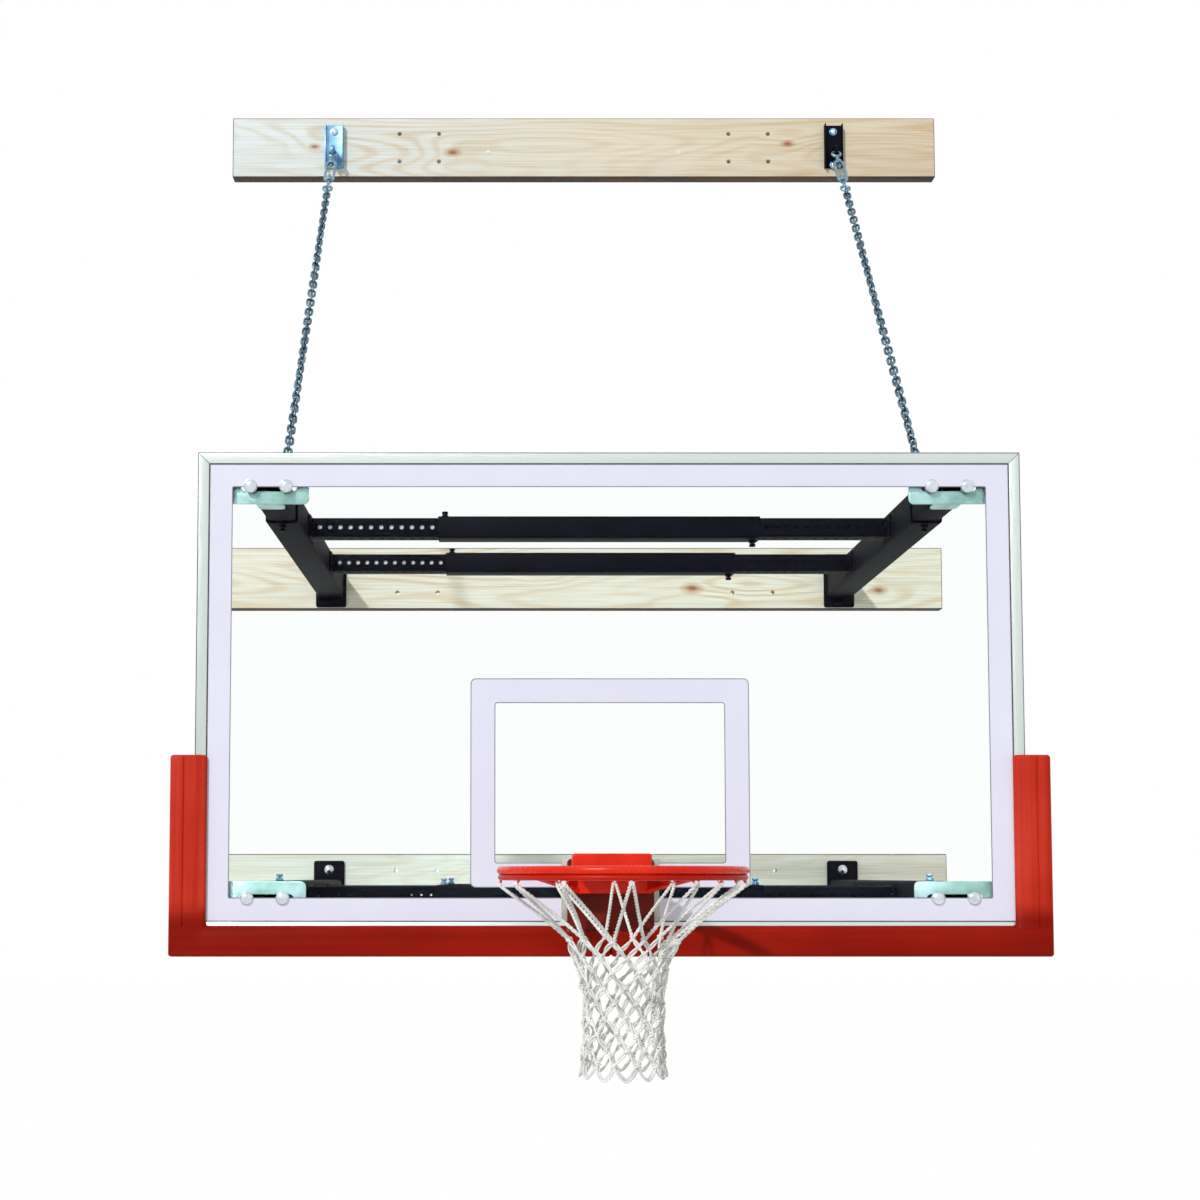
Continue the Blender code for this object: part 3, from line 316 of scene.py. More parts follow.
pad_red = pad_skin()
print("pad:", pad_red.name, "with", len(pad_red.node_tree.nodes), "nodes")

# %% [markdown]
# A knot is where a branch grew. It is stained dark, longer than it is tall, and the grain bends
# round it. Each plank gets a short list of knots, and this helper gives the distance to the nearest
# one.

# %% Knots in the wood
KNOT_LENGTH = 2.0


def distance_to_knots(tree, place, knots):
    """How many knot sizes away the nearest knot is. A knot is (x, z, size)."""
    nearest = None
    for x, z, size in knots:
        length = size * KNOT_LENGTH
        inputs = {
            "Vector": place,
            "Location": (-x / length, 0, -z / size),
            "Scale": (1 / length, 0, 1 / size),
        }
        offset = add_node(tree, "ShaderNodeMapping", inputs).outputs["Vector"]
        measure = add_node(tree, "ShaderNodeVectorMath", {0: offset}, operation="LENGTH")
        away = measure.outputs["Value"]
        nearest = away if nearest is None else calculate(tree, "MINIMUM", nearest, away)
    return nearest


# %% [markdown]
# A sawn pine face cuts through the tree's growth rings like the level lines of a map. So the grain
# here is made of level lines too: a smooth noise, drawn out along the plank, goes through a sine.
# The knots push the lines aside. Fine fibres lie over it all, and the tint drifts along the plank,
# which is painted warmer light on the right of the top plank.

# %% Planed pine
GRAIN_TURNS = 150.0
KNOT_PUSH = 9.0
PUSH_REACH = 7.0
STAIN_REACH = 2.0
TINT_HALF = 1.05
PAPER = (255, 255, 255)
LINE_TONES = [(0.0, PAPER), (0.5, (242, 226, 206)), (1.0, (212, 176, 138))]
FIBRE_TONES = [(0.3, (236, 230, 220)), (0.6, PAPER)]
STAIN_TONES = [(0.15, (186, 130, 112)), (0.45, (230, 208, 190)), (0.9, PAPER)]


def planed_pine(name, offset, tones, contrast, knots):
    """Pine with its own piece of grain, its tones from left to right, and its knots."""
    material, tree, shader = new_finish(name, "pine_wood")
    place = add_node(tree, "ShaderNodeTexCoord").outputs["Object"]
    hills = add_noise(tree, 2.4, (0.3, 1, 2.4), detail=1.0, shift=(offset, offset, offset))
    near = distance_to_knots(tree, place, knots)
    push = spread(tree, near, KNOT_PUSH, 0.0, 0.0, PUSH_REACH)
    wave = calculate(tree, "SINE", calculate(tree, "MULTIPLY_ADD", hills, GRAIN_TURNS, push))
    patches = add_noise(tree, 3.0, (0.5, 1, 3), shift=(offset, 0, 0))
    fade = spread(tree, patches, 0.1, contrast, 0.35, 0.65)
    lines = calculate(tree, "MULTIPLY", spread(tree, wave, 0, 1, -0.2, 1.0), fade)
    fibre = add_noise(tree, 260, (0.015, 1, 1), detail=5.0)
    stain = spread(tree, near, 0, 1, 0.0, STAIN_REACH)
    across = add_node(tree, "ShaderNodeSeparateXYZ", {"Vector": place}).outputs["X"]
    stops = [(i / (len(tones) - 1), tone) for i, tone in enumerate(tones)]
    wood = add_ramp(tree, spread(tree, across, 0, 1, -TINT_HALF, TINT_HALF), stops)
    for factor, layer in ((lines, LINE_TONES), (fibre, FIBRE_TONES), (stain, STAIN_TONES)):
        wood = mix_colours(tree, 1.0, wood, add_ramp(tree, factor, layer), "MULTIPLY")
    drive(tree, shader, wood, spread(tree, fibre, 0.55, 0.75), fibre, 0.0003)
    dull(material, 0.2)
    return material


# %% [markdown]
# The top plank's tones are painted warmer to the right, as a warmer light falls there. The middle
# one is painted paler, as painted light, and the bottom one is pale too. Each one's knots are where
# the photograph shows the largest ones.

# %% The planks' own wood
# Top: painted warmer light to the right. Middle: painted paler, as light.
TOP_PAINTED_LIGHT_TONES = ((232, 243, 246), (234, 229, 210), (226, 212, 186))
MIDDLE_PAINTED_LIGHT_TONES = ((246, 246, 232), (250, 252, 238), (246, 250, 234))
BOTTOM_TONES = ((232, 243, 232), (236, 245, 238), (240, 240, 228))
TOP_KNOTS = ((-0.818, 1.326, 0.007), (-0.399, 1.308, 0.010), (0.62, 1.335, 0.008))
MIDDLE_KNOTS = ((0.877, -0.036, 0.010), (0.32, -0.030, 0.012), (-0.12, 0.02, 0.008))
BOTTOM_KNOTS = ((1.02, -0.93, 0.012), (-0.30, -0.90, 0.009))

pine_top = planed_pine("pine_top", 3.1, TOP_PAINTED_LIGHT_TONES, 0.42, TOP_KNOTS)
pine_middle = planed_pine("pine_middle", 7.7, MIDDLE_PAINTED_LIGHT_TONES, 0.54, MIDDLE_KNOTS)
pine_bottom = planed_pine("pine_bottom", 12.4, BOTTOM_TONES, 0.28, BOTTOM_KNOTS)
# A dark finish for the eased edges, and for the undersides as painted shade.
dark_edge_and_painted_shade = two_tone(
    "dark_edge_and_painted_shade", "pine_wood", (58, 44, 36), (96, 72, 54), (0.6, 0.8), broad=20, stretch=(0.2, 1, 1)
)
print("wood:", [finish.name for finish in (pine_top, pine_middle, pine_bottom, dark_edge_and_painted_shade)])

# %% [markdown]
# Glass shows by what it bends and mirrors. The pane is thick, clear and very slightly green. A
# glass shader stops the lamps' direct light, so for shadow rays alone it is swapped for a clear
# shader, and the tubes behind the pane keep their own sun and shade. A dark specular tint weakens
# the mirroring, so that the white room doesn't veil the black tubes.

# %% Tempered glass
def tempered_glass():
    material, tree, shader = new_finish("tempered_glass", "tempered_glass")
    shader.inputs["Transmission Weight"].default_value = 1.0
    shader.inputs["IOR"].default_value = 1.5
    shader.inputs["Specular Tint"].default_value = (0.05, 0.05, 0.05, 1)
    smears = add_noise(tree, 3.0)
    base = add_ramp(tree, smears, [(0.3, (249, 253, 251)), (0.7, (252, 254, 253))])
    drive(tree, shader, base, spread(tree, smears, 0.0, 0.004))
    ray = add_node(tree, "ShaderNodeLightPath").outputs["Is Shadow Ray"]
    clear = add_node(tree, "ShaderNodeBsdfTransparent", {"Color": colour(246, 252, 249)})
    inputs = {0: ray, 1: shader.outputs["BSDF"], 2: clear.outputs["BSDF"]}
    mixed = add_node(tree, "ShaderNodeMixShader", inputs)
    output = tree.nodes["Material Output"]
    tree.links.new(mixed.outputs["Shader"], output.inputs["Surface"])
    return material


glass = tempered_glass()
print("glass:", glass.name, "with", len(glass.node_tree.nodes), "nodes")

# %% [markdown]
# The border and the target are printed on the glass in a white that leans to lavender, each with a
# hair-thin grey line at its edge where the print ends, painted as the shadow of that edge.

# %% Printed lines
def printed(name, dark, light, gloss, broad):
    """Ink baked onto the glass, nearly without relief."""
    return two_tone(name, "tempered_glass", dark, light, gloss, broad=broad, depth=0.00003)


print_white = printed("print_white", (226, 226, 244), (230, 230, 246), (0.4, 0.5), 8)
# Grey hair lines at the print's edges, as painted shadow.
painted_shadow_print = printed("painted_shadow_print", (112, 112, 122), (140, 140, 150), (0.5, 0.6), 20)
print("print:", print_white.name, "and", painted_shadow_print.name)

# %% [markdown]
# The net is braided nylon. Each cord is woven from fine white threads, so it has no sharp
# highlight: a rough, slightly creamy white with tiny threads in its bump and a little sheen from
# loose fibres.

# %% Braided cord
def braided_cord():
    material, tree, shader = new_finish("braided_cord", "net_cord")
    threads = add_noise(tree, 900, detail=2.0)
    grime = add_noise(tree, 26)
    base = add_ramp(tree, grime, [(0.3, (206, 209, 204)), (0.62, (242, 244, 241))])
    drive(tree, shader, base, spread(tree, threads, 0.75, 0.95), threads, 0.0004, 0.6)
    shader.inputs["Sheen Weight"].default_value = 0.2
    dull(material, 0.25)
    return material


cord_white = braided_cord()
print(len(bpy.data.materials), "materials so far, the frame's own among them")

# %% [markdown]
# Now the modelling helpers. A primitive is added at its size and place, and its transform is
# applied at once, so that its place is in its mesh. Only one piece is ever selected, because an
# operator acts on everything that is.

# %% Helpers for picking up a piece
def start_clean():
    """Back to object mode with nothing selected."""
    active = bpy.context.object
    if active and active.mode != "OBJECT":
        bpy.ops.object.mode_set(mode="OBJECT")
    bpy.ops.object.select_all(action="DESELECT")


def take(piece):
    """Selects one piece alone and makes it the active one, as a click does."""
    start_clean()
    piece.select_set(True)
    bpy.context.view_layer.objects.active = piece


def settle(name):
    """Names the piece in hand and writes its place, turn and size into its mesh."""
    piece = bpy.context.object
    piece.name = name
    piece.data.name = name
    take(piece)
    bpy.ops.object.transform_apply(location=True, rotation=True, scale=True)
    return piece


def add_block(name, low, high):
    """A block between two corners."""
    start_clean()
    size = [b - a for a, b in zip(low, high)]
    middle = [(a + b) / 2 for a, b in zip(low, high)]
    bpy.ops.mesh.primitive_cube_add(size=1, location=middle, scale=size)
    return settle(name)


def add_bar(name, start, end, radius, sides=32):
    """A round or many-sided bar from one point to another."""
    start_clean()
    run = Vector(end) - Vector(start)
    turn = run.to_track_quat("Z", "Y").to_euler()
    middle = (Vector(start) + Vector(end)) / 2
    bpy.ops.mesh.primitive_cylinder_add(
        vertices=sides, radius=radius, depth=run.length, location=middle, rotation=turn
    )
    return settle(name)


def add_ring(name, centre, radius, rod, turn=(0, 0, 0), steps=64, sides=16):
    """A round ring of round rod, lying flat unless it is turned."""
    start_clean()
    bpy.ops.mesh.primitive_torus_add(
        major_segments=steps, minor_segments=sides, major_radius=radius, minor_radius=rod,
        location=centre, rotation=turn,
    )
    return settle(name)


# %% [markdown]
# In edit mode, faces and edges are picked by where they are and which way they face, as a modeller
# would point at them.

# %% Helpers for edit mode
def open_mesh(piece, kind):
    """Opens a piece in edit mode with nothing picked."""
    take(piece)
    bpy.ops.object.mode_set(mode="EDIT")
    bpy.ops.mesh.select_mode(type=kind)
    bpy.ops.mesh.select_all(action="DESELECT")
    return bmesh.from_edit_mesh(piece.data)


def pick_faces(piece, wanted):
    """Picks the faces whose middle and normal are wanted."""
    mesh = open_mesh(piece, "FACE")
    for face in mesh.faces:
        face.select_set(bool(wanted(face.calc_center_median(), face.normal)))
    bmesh.update_edit_mesh(piece.data)


def pick_edges(piece, wanted):
    """Picks the edges whose two ends are wanted."""
    mesh = open_mesh(piece, "EDGE")
    for edge in mesh.edges:
        edge.select_set(bool(wanted(edge.verts[0].co, edge.verts[1].co)))
    bmesh.update_edit_mesh(piece.data)


def pick_all(piece):
    open_mesh(piece, "FACE")
    bpy.ops.mesh.select_all(action="SELECT")


def close_mesh():
    bpy.ops.object.mode_set(mode="OBJECT")


def face_outwards(piece):
    """Merges doubles and turns every face out again, as after a mirror or a spin."""
    pick_all(piece)
    bpy.ops.mesh.remove_doubles(threshold=0.000002)
    bpy.ops.mesh.normals_make_consistent(inside=False)
    close_mesh()


def move(piece, shift):
    """Moves a finished piece, keeping its object at the origin."""
    take(piece)
    bpy.ops.transform.translate(value=shift)
    bpy.ops.object.transform_apply(location=True, rotation=False, scale=False)


def turn_piece(piece, angle, axis, centre):
    """Turns a piece's mesh about a level or upright axis through a point."""
    pick_all(piece)
    bpy.ops.transform.rotate(
        value=angle, orient_axis=axis, orient_type="GLOBAL", center_override=centre
    )
    close_mesh()


# %% [markdown]
# Most shaping is one of a few moves: some faces or edges are picked, one operator acts on them, and
# the mesh is closed again. Each of these moves gets its own short helper.

# %% Helpers that shape a mesh
def bevel_edges(piece, wanted, width, segments):
    """Rounds the edges that are wanted, or chamfers them with one segment."""
    pick_edges(piece, wanted)
    bpy.ops.mesh.bevel(offset=width, segments=segments, affect="EDGES")
    close_mesh()


def shift_edges(piece, wanted, shift):
    """Moves the edges that are wanted, and the faces beside them follow."""
    pick_edges(piece, wanted)
    bpy.ops.transform.translate(value=shift)
    close_mesh()


def pull_faces(piece, wanted, shift):
    """Extrudes the faces that are wanted."""
    pick_faces(piece, wanted)
    bpy.ops.mesh.extrude_region_move(TRANSFORM_OT_translate={"value": shift})
    close_mesh()


def drop_faces(piece, wanted):
    """Deletes the faces that are wanted, which leaves an open shell."""
    pick_faces(piece, wanted)
    bpy.ops.mesh.delete(type="FACE")
    close_mesh()


def score(piece, place, across):
    """Cuts new edges round the piece where a plane meets it."""
    pick_all(piece)
    bpy.ops.mesh.bisect(plane_co=place, plane_no=across)
    close_mesh()


def saw_off(piece, place, across):
    """Takes off what lies beyond a plane, on the side that across points to, and fills the cut."""
    pick_all(piece)
    bpy.ops.mesh.bisect(plane_co=place, plane_no=across, use_fill=True, clear_outer=True)
    close_mesh()


def cap_ends(piece, sides):
    """Fills open ends of up to so many sides, and turns every face outwards."""
    open_mesh(piece, "EDGE")
    bpy.ops.mesh.select_all(action="SELECT")
    bpy.ops.mesh.fill_holes(sides=sides)
    bpy.ops.mesh.select_all(action="SELECT")
    bpy.ops.mesh.normals_make_consistent(inside=False)
    close_mesh()


def stand(piece, place, turn):
    """Turns a piece about the origin and moves it to its place. Both go into its mesh."""
    piece.location = place
    piece.rotation_euler = turn
    take(piece)
    bpy.ops.object.transform_apply(location=True, rotation=True, scale=False)


# %% [markdown]
# Real edges are never sharp. A Bevel modifier rounds those that turn by more than its angle, and it
# is applied so that the mesh is final. Sheet steel gets its thickness from Solidify, threads and
# springs are wound by Screw, and holes and joins are Booleans, all applied the same way.

# %% Helpers with modifiers
PAST = 0.01  # how far a cutting tool stands out of what it cuts


def apply_modifier(piece, modifier):
    take(piece)
    bpy.ops.object.modifier_apply(modifier=modifier.name)


def soften(piece, width, segments=2, angle=35):
    """Rounds the piece's sharp edges."""
    bevel = piece.modifiers.new("softened", "BEVEL")
    bevel.width = width
    bevel.segments = segments
    bevel.limit_method = "ANGLE"
    bevel.angle_limit = math.radians(angle)
    apply_modifier(piece, bevel)


def give_wall(piece, thickness):
    """Gives an open shell its thickness, inwards."""
    shell = piece.modifiers.new("wall", "SOLIDIFY")
    shell.thickness = thickness
    shell.offset = -1
    shell.use_even_offset = True
    apply_modifier(piece, shell)


def wind_up(piece, angle, steps, rise, rounds=1):
    """Winds an outline up the Z axis, by an angle and a rise for each round."""
    screw = piece.modifiers.new("wind", "SCREW")
    screw.axis = "Z"
    screw.angle = angle
    screw.steps = steps
    screw.render_steps = steps
    screw.iterations = rounds
    screw.screw_offset = rise
    screw.use_merge_vertices = False
    apply_modifier(piece, screw)


def carve(piece, tool, operation="DIFFERENCE"):
    """Cuts the tool out of the piece, or joins it on, and puts the tool away."""
    boolean = piece.modifiers.new("carved", "BOOLEAN")
    boolean.operation = operation
    boolean.object = tool
    apply_modifier(piece, boolean)
    bpy.data.objects.remove(tool)


def join_on(piece, addition):
    """Welds an addition onto the piece, so that the two are one closed shell."""
    carve(piece, addition, "UNION")


# %% [markdown]
# What repeats is made once. A copy gets its own mesh, and a mirrored one has its faces turned out
# again, because a negative scale turns a shape inside out.

# %% Helpers for copies
SIDES = (("left", -1), ("right", 1))
ROWS = ("upper", "lower")
PLACES = ("front", "rear")


def gather(name, pieces):
    """Joins several pieces into one object, each still its own shell."""
    take(pieces[0])
    for piece in pieces[1:]:
        piece.select_set(True)
    bpy.ops.object.join()
    joined = bpy.context.object
    joined.name = name
    joined.data.name = name
    return joined


def copy_piece(piece, name, shift=(0, 0, 0), mirrored=False):
    """A copy with its own mesh, moved or mirrored left to right."""
    take(piece)
    bpy.ops.object.duplicate(linked=False)
    copy = bpy.context.object
    copy.name = name
    copy.data.name = name
    if mirrored:
        bpy.ops.transform.resize(value=(-1, 1, 1), center_override=(0, 0, 0))
        bpy.ops.object.transform_apply(location=True, rotation=True, scale=True)
        face_outwards(copy)
    move(copy, shift)
    return copy


# %% [markdown]
# A finished piece gets its material, its smooth shading, the body that it moves with, the part's
# material slot and the plain nodes that it stands for.

# %% Fitting a finished piece
fitted = []


def fit(piece, body, finish, *stands_for, smooth=32):
    """Hands a finished piece over to the frame."""
    piece.data.materials.clear()
    piece.data.materials.append(finish)
    take(piece)
    bpy.ops.object.shade_smooth_by_angle(angle=math.radians(smooth))
    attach(piece, body)
    if stands_for:
        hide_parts(*stands_for)
    fitted.append(piece.name)
    return piece


def paint_faces(piece, finish, wanted):
    """Gives a second finish to the faces that are wanted."""
    piece.data.materials.append(finish)
    pick_faces(piece, wanted)
    piece.active_material_index = len(piece.data.materials) - 1
    bpy.ops.object.material_slot_assign()
    close_mesh()


# %% [markdown]
# The studio is a pale floor far below the hoop and a white surround. One soft sun stands up on the
# left in front, which throws the arms' shadows down and right over the planks. The surround is
# white to the camera, to mirrors and through glass, and dimmer as a lamp, so that nothing clips.

# %% Studio
FLOOR_BELOW_RING = 3.05
FLOOR_SIZE = 80
FLOOR_PAINT = 0.93
SURROUND_LIGHT = 0.42
SUN_STRENGTH = 2.0
SUN_SOFTNESS = math.radians(3)
SUN_TRAVEL = (0.42, 0.72, -0.55)
FLOOR_GLOW = 0.75
GLOW_STRENGTH = 1.09


def seen_ray(tree):
    """1 for a camera, glossy or transmission ray, and 0 for the light that falls on things."""
    path = add_node(tree, "ShaderNodeLightPath").outputs
    seen = calculate(tree, "MAXIMUM", path["Is Camera Ray"], path["Is Glossy Ray"])
    return calculate(tree, "MAXIMUM", seen, path["Is Transmission Ray"])


def make_studio():
    world = bpy.data.worlds.new("surround")
    world.use_nodes = True
    bpy.context.scene.world = world
    tree = world.node_tree
    strength = spread(tree, seen_ray(tree), SURROUND_LIGHT, 1.0, 0.0, 1.0)
    background = tree.nodes["Background"]
    background.inputs["Color"].default_value = (1, 1, 1, 1)
    tree.links.new(strength, background.inputs["Strength"])

    sun = bpy.data.lights.new("key_sun", "SUN")
    sun.energy = SUN_STRENGTH
    sun.angle = SUN_SOFTNESS
    key = bpy.data.objects.new("key_sun", sun)
    key.rotation_euler = Vector(SUN_TRAVEL).to_track_quat("-Z", "Y").to_euler()
    bpy.context.scene.collection.objects.link(key)

    start_clean()
    ring_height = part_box("rim_ring")[1].z
    place = (0, 0, ring_height - FLOOR_BELOW_RING)
    bpy.ops.mesh.primitive_plane_add(size=FLOOR_SIZE, location=place)
    floor = settle("floor")
    material = bpy.data.materials.new("pale_floor")
    material.use_nodes = True
    tree = material.node_tree
    grey = (FLOOR_PAINT, FLOOR_PAINT, FLOOR_PAINT, 1)
    paint = add_node(tree, "ShaderNodeBsdfDiffuse", {"Color": grey})
    glow = add_node(tree, "ShaderNodeEmission", {"Color": (1, 1, 1, 1), "Strength": GLOW_STRENGTH})
    share = spread(tree, seen_ray(tree), 0.0, FLOOR_GLOW, 0.0, 1.0)
    shaders = {0: share, 1: paint.outputs[0], 2: glow.outputs[0]}
    mixed = add_node(tree, "ShaderNodeMixShader", shaders)
    tree.links.new(mixed.outputs[0], tree.nodes["Material Output"].inputs["Surface"])
    floor.data.materials.append(material)
    return floor


made = make_studio()
print("floor:", in_mm(made.data.vertices[0].co)[2], "mm high")

# %% [markdown]
# Three pine planks are screwed to the wall and carry everything. Each is a block with its edges
# eased, drilled with eight holes for lag screws. The drills are bars gathered into one tool,
# because one Boolean with eight shells is quicker and cleaner than eight Booleans. The eased edges
# are darker, and the underside is painted dark as shade.

# %% Wall planks
PLANK_EDGE = 0.0025
EASED_STRIP = 2 * PLANK_EDGE
LAG_HOLE = 0.0065
LAG_COLUMNS = (-0.56, -0.44, 0.44, 0.56)
LAG_ROWS = (-0.043, 0.043)


def make_plank(name, finish):
    low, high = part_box(f"wall_board_{name}")
    plank = add_block(f"{name}_plank", low, high)
    soften(plank, PLANK_EDGE, 3)
    middle = (low.z + high.z) / 2
    drills = []
    for x in LAG_COLUMNS:
        for row in LAG_ROWS:
            z = middle + row
            start = (x, low.y - PAST, z)
            drills.append(add_bar("drill", start, (x, high.y + PAST, z), LAG_HOLE, 24))
    carve(plank, gather("drills", drills))
    fit(plank, "wall_frame", finish, f"wall_board_{name}")
    half_wide = (high.x - low.x) / 2 - EASED_STRIP
    half_tall = (high.z - low.z) / 2 - EASED_STRIP

    def is_dark_edge_or_shaded_underside(spot, normal):
        """Whether a face is an eased edge or the underside, painted dark as shade, and not a hole's
        wall.
        """
        underside = normal.z < -0.3
        eased = max(abs(normal.x), abs(normal.y), normal.z) < 0.97
        inside = abs(spot.x) < half_wide and abs(spot.z - middle) < half_tall
        return (underside or eased) and not inside

    # The eased edges and the underside get the dark finish, the underside as painted shade.
    paint_faces(plank, dark_edge_and_painted_shade, is_dark_edge_or_shaded_underside)
    return plank


for plank_name, pine in (("top", pine_top), ("middle", pine_middle), ("bottom", pine_bottom)):
    made = make_plank(plank_name, pine)
    print(made.name, in_mm(made.dimensions), "mm,", len(made.data.polygons), "faces")

# %% [markdown]
# Two small pale plugs close spare screw holes in the top plank. Each is a short peg with an eased
# face, sunk into the wood and standing proud by less than a millimetre.

# %% Wooden plugs
PLUG_RADIUS = 0.0065
PLUG_X = 0.29
PLUG_DROP = LAG_ROWS[1] / 3
PLUG_PROUD = 0.0008
PLUG_SUNK = 0.006


def make_plug(side, sign):
    low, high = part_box("wall_board_top")
    x = sign * PLUG_X
    z = (low.z + high.z) / 2 - PLUG_DROP
    front = (x, low.y - PLUG_PROUD, z)
    plug = add_bar(f"plug_{side}", front, (x, low.y + PLUG_SUNK, z), PLUG_RADIUS, 24)
    soften(plug, 0.0005)
    # The plugs take the middle plank's wood, which is painted paler as light.
    return fit(plug, "wall_frame", pine_middle)


for side, sign in SIDES:
    made = make_plug(side, sign)
print(made.name, in_mm(made.dimensions), "mm")

# %% [markdown]
# Bolts, nuts and screws show all over the hoop, so their makers come before the pieces that they
# hold. A dome is half a sphere with its pole towards the viewer, flattened and cut off flat. A
# hexagon head is a six-sided bar with eased rims. Both can face any way.

# %% Bolt heads and nuts
def add_dome(name, foot, height, radius):
    """A domed head. The foot is the middle of its flat side, and the height points out of it."""
    start_clean()
    rise = Vector(height)
    turn = rise.to_track_quat("Z", "Y").to_euler()
    bpy.ops.mesh.primitive_uv_sphere_add(
        segments=32, ring_count=16, radius=radius, location=foot, rotation=turn,
        scale=(1, 1, rise.length / radius),
    )
    dome = settle(name)
    saw_off(dome, foot, -rise.normalized())
    return dome


def add_hexagon(name, start, end, radius):
    """A hexagon head or nut with its corners knocked off."""
    head = add_bar(name, start, end, radius, 6)
    soften(head, radius * 0.09, 2, 50)
    return head


def add_washer(name, start, end, radius):
    """A round plate with eased rims."""
    washer = add_bar(name, start, end, radius, 40)
    soften(washer, (Vector(end) - Vector(start)).length * 0.3)
    return washer


# %% [markdown]
# A square tube starts as a block. Its long edges are bevelled to the mill's corner radius, its two
# end faces are deleted, and the open shell gets its wall. That leaves clean rims at the ends, which
# a small bevel then eases as a deburring tool does. A plate is a block with its four corners
# rounded.

# %% Square tubes and plates
TUBE_CORNER = 0.006


def add_tube(name, low, high, wall, axis, corner=TUBE_CORNER):
    """A square tube that runs along the axis (0 for X, 1 for Y)."""
    tube = add_block(name, low, high)
    half_run = 0.5 * (high[axis] - low[axis])
    bevel_edges(tube, lambda a, b: abs(a[axis] - b[axis]) > half_run, corner, 4)
    drop_faces(tube, lambda middle, normal: abs(normal[axis]) > 0.9)
    give_wall(tube, wall)
    soften(tube, min(0.0006, wall / 4), 2, 60)
    return tube


def add_slab(name, low, high, corner, segments=5):
    """A plate that faces the viewer, with its four corners rounded."""
    slab = add_block(name, low, high)
    half_deep = 0.5 * (high[1] - low[1])
    bevel_edges(slab, lambda a, b: abs(a.y - b.y) > half_deep, corner, segments)
    return slab


# %% [markdown]
# Each chain bracket is a short piece of galvanised channel screwed flat on the top plank. The plate
# is cut near its two long sides and the strips beyond the cuts are pulled forward as flanges. A lug
# with a round end stands out of it, and the turnbuckle hangs in the lug's hole. The right one gets
# the tubes' near-black finish.

# %% A lug
LUG_THICKNESS = 0.008
LUG_RADIUS = 0.019
LUG_HOLE = 0.0098
LUG_SUNK = 0.002


def add_lug(name, x, hole, root, thickness=LUG_THICKNESS, radius=LUG_RADIUS, bore=LUG_HOLE):
    """A lug in the YZ plane: a block from its root to past the hole, with its end rounded."""
    half = thickness / 2
    hole = Vector(hole)
    lean = (hole - Vector(root)).normalized()
    tip = hole + lean * radius
    across = Vector((-lean.y, lean.x)) * radius
    corners = [tip + across, tip - across, Vector(root) + across, Vector(root) - across]
    low = (x - half, min(c.x for c in corners), min(c.y for c in corners))
    high = (x + half, max(c.x for c in corners), max(c.y for c in corners))
    lug = add_block(name, low, high)
    at_tip = lambda p: (Vector((p.y, p.z)) - tip).dot(lean) > -0.0001
    across_tip = lambda a, b: at_tip(a) and at_tip(b) and abs(a.x - b.x) > half
    bevel_edges(lug, across_tip, radius * 0.995, 14)
    soften(lug, 0.0008, 2, 50)
    carve(lug, add_bar("eye", (x - thickness, *hole), (x + thickness, *hole), bore, 40))
    return lug


# %% [markdown]
# The bracket's flanges, lug and two bolts follow. Each bolt is a chrome dome over a zinc washer,
# and both sink a hair into what lies under them, so that no gap shows.

# %% Chain brackets
CHANNEL_THICKNESS = 0.005
FLANGE_THICKNESS = 0.004
FLANGE_REACH = 0.014
WALL_LUG_BELOW = 0.030
LUG_REACH = 0.034
BRACKET_BOLTS = {"upper": 0.046, "lower": -0.0575}
BRACKET_WASHER = 0.0115
BRACKET_WASHER_THICK = 0.0016
BRACKET_DOME = 0.0085
BRACKET_DOME_HEIGHT = 0.005
HAIR = 0.0002


def make_chain_bracket(side, sign):
    low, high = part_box(f"chain_bracket_{side}")
    x = (low.x + high.x) / 2
    middle = (low.z + high.z) / 2
    front = high.y - CHANNEL_THICKNESS
    plate = add_block(f"chain_plate_{side}", (low.x, front, low.z), high)
    for cut in (low.x + FLANGE_THICKNESS, high.x - FLANGE_THICKNESS):
        score(plate, (cut, 0, 0), (1, 0, 0))
    web = (high.x - low.x) / 2 - FLANGE_THICKNESS
    in_flange = lambda spot, normal: normal.y < -0.9 and abs(spot.x - x) > web
    pull_faces(plate, in_flange, (0, -FLANGE_REACH, 0))
    soften(plate, 0.0012, 3)
    hole = (front + CHANNEL_THICKNESS / 2 - LUG_REACH, middle - WALL_LUG_BELOW)
    join_on(plate, add_lug("lug", x, hole, (front + LUG_SUNK, hole[1])))
    fit(plate, "wall_frame", blue_zinc if sign < 0 else black_coat, f"chain_bracket_{side}")
    for spot, rise in BRACKET_BOLTS.items():
        z = middle + rise
        face = front - BRACKET_WASHER_THICK
        washer_name = f"chain_plate_washer_{side}_{spot}"
        washer = add_washer(washer_name, (x, front + HAIR, z), (x, face, z), BRACKET_WASHER)
        fit(washer, "wall_frame", blue_zinc)
        head_name = f"chain_plate_bolt_{side}_{spot}"
        foot = (x, face + HAIR, z)
        head = add_dome(head_name, foot, (0, -BRACKET_DOME_HEIGHT, 0), BRACKET_DOME)
        fit(head, "wall_frame", bright)
    return plate


for side, sign in SIDES:
    made = make_chain_bracket(side, sign)
    print(made.name, in_mm(made.dimensions), "mm")

# %% [markdown]
# From each bracket a turnbuckle and a welded chain run straight down to a lug on the upper arm. All
# of it is modelled upright, with Z along the run, and then turned onto the line between the two
# holes.

# %% The line of the chain
EYE_RADIUS = 0.012
EYE_ROD = 0.004
UPPER_EYE_AT = 0.0156
BUCKLE_FROM = 0.0576
BUCKLE_LENGTH = 0.115
LOWER_EYE_AT = 0.2146
SCREW_RADIUS = 0.005
ARM_LUG_ABOVE = 0.0697


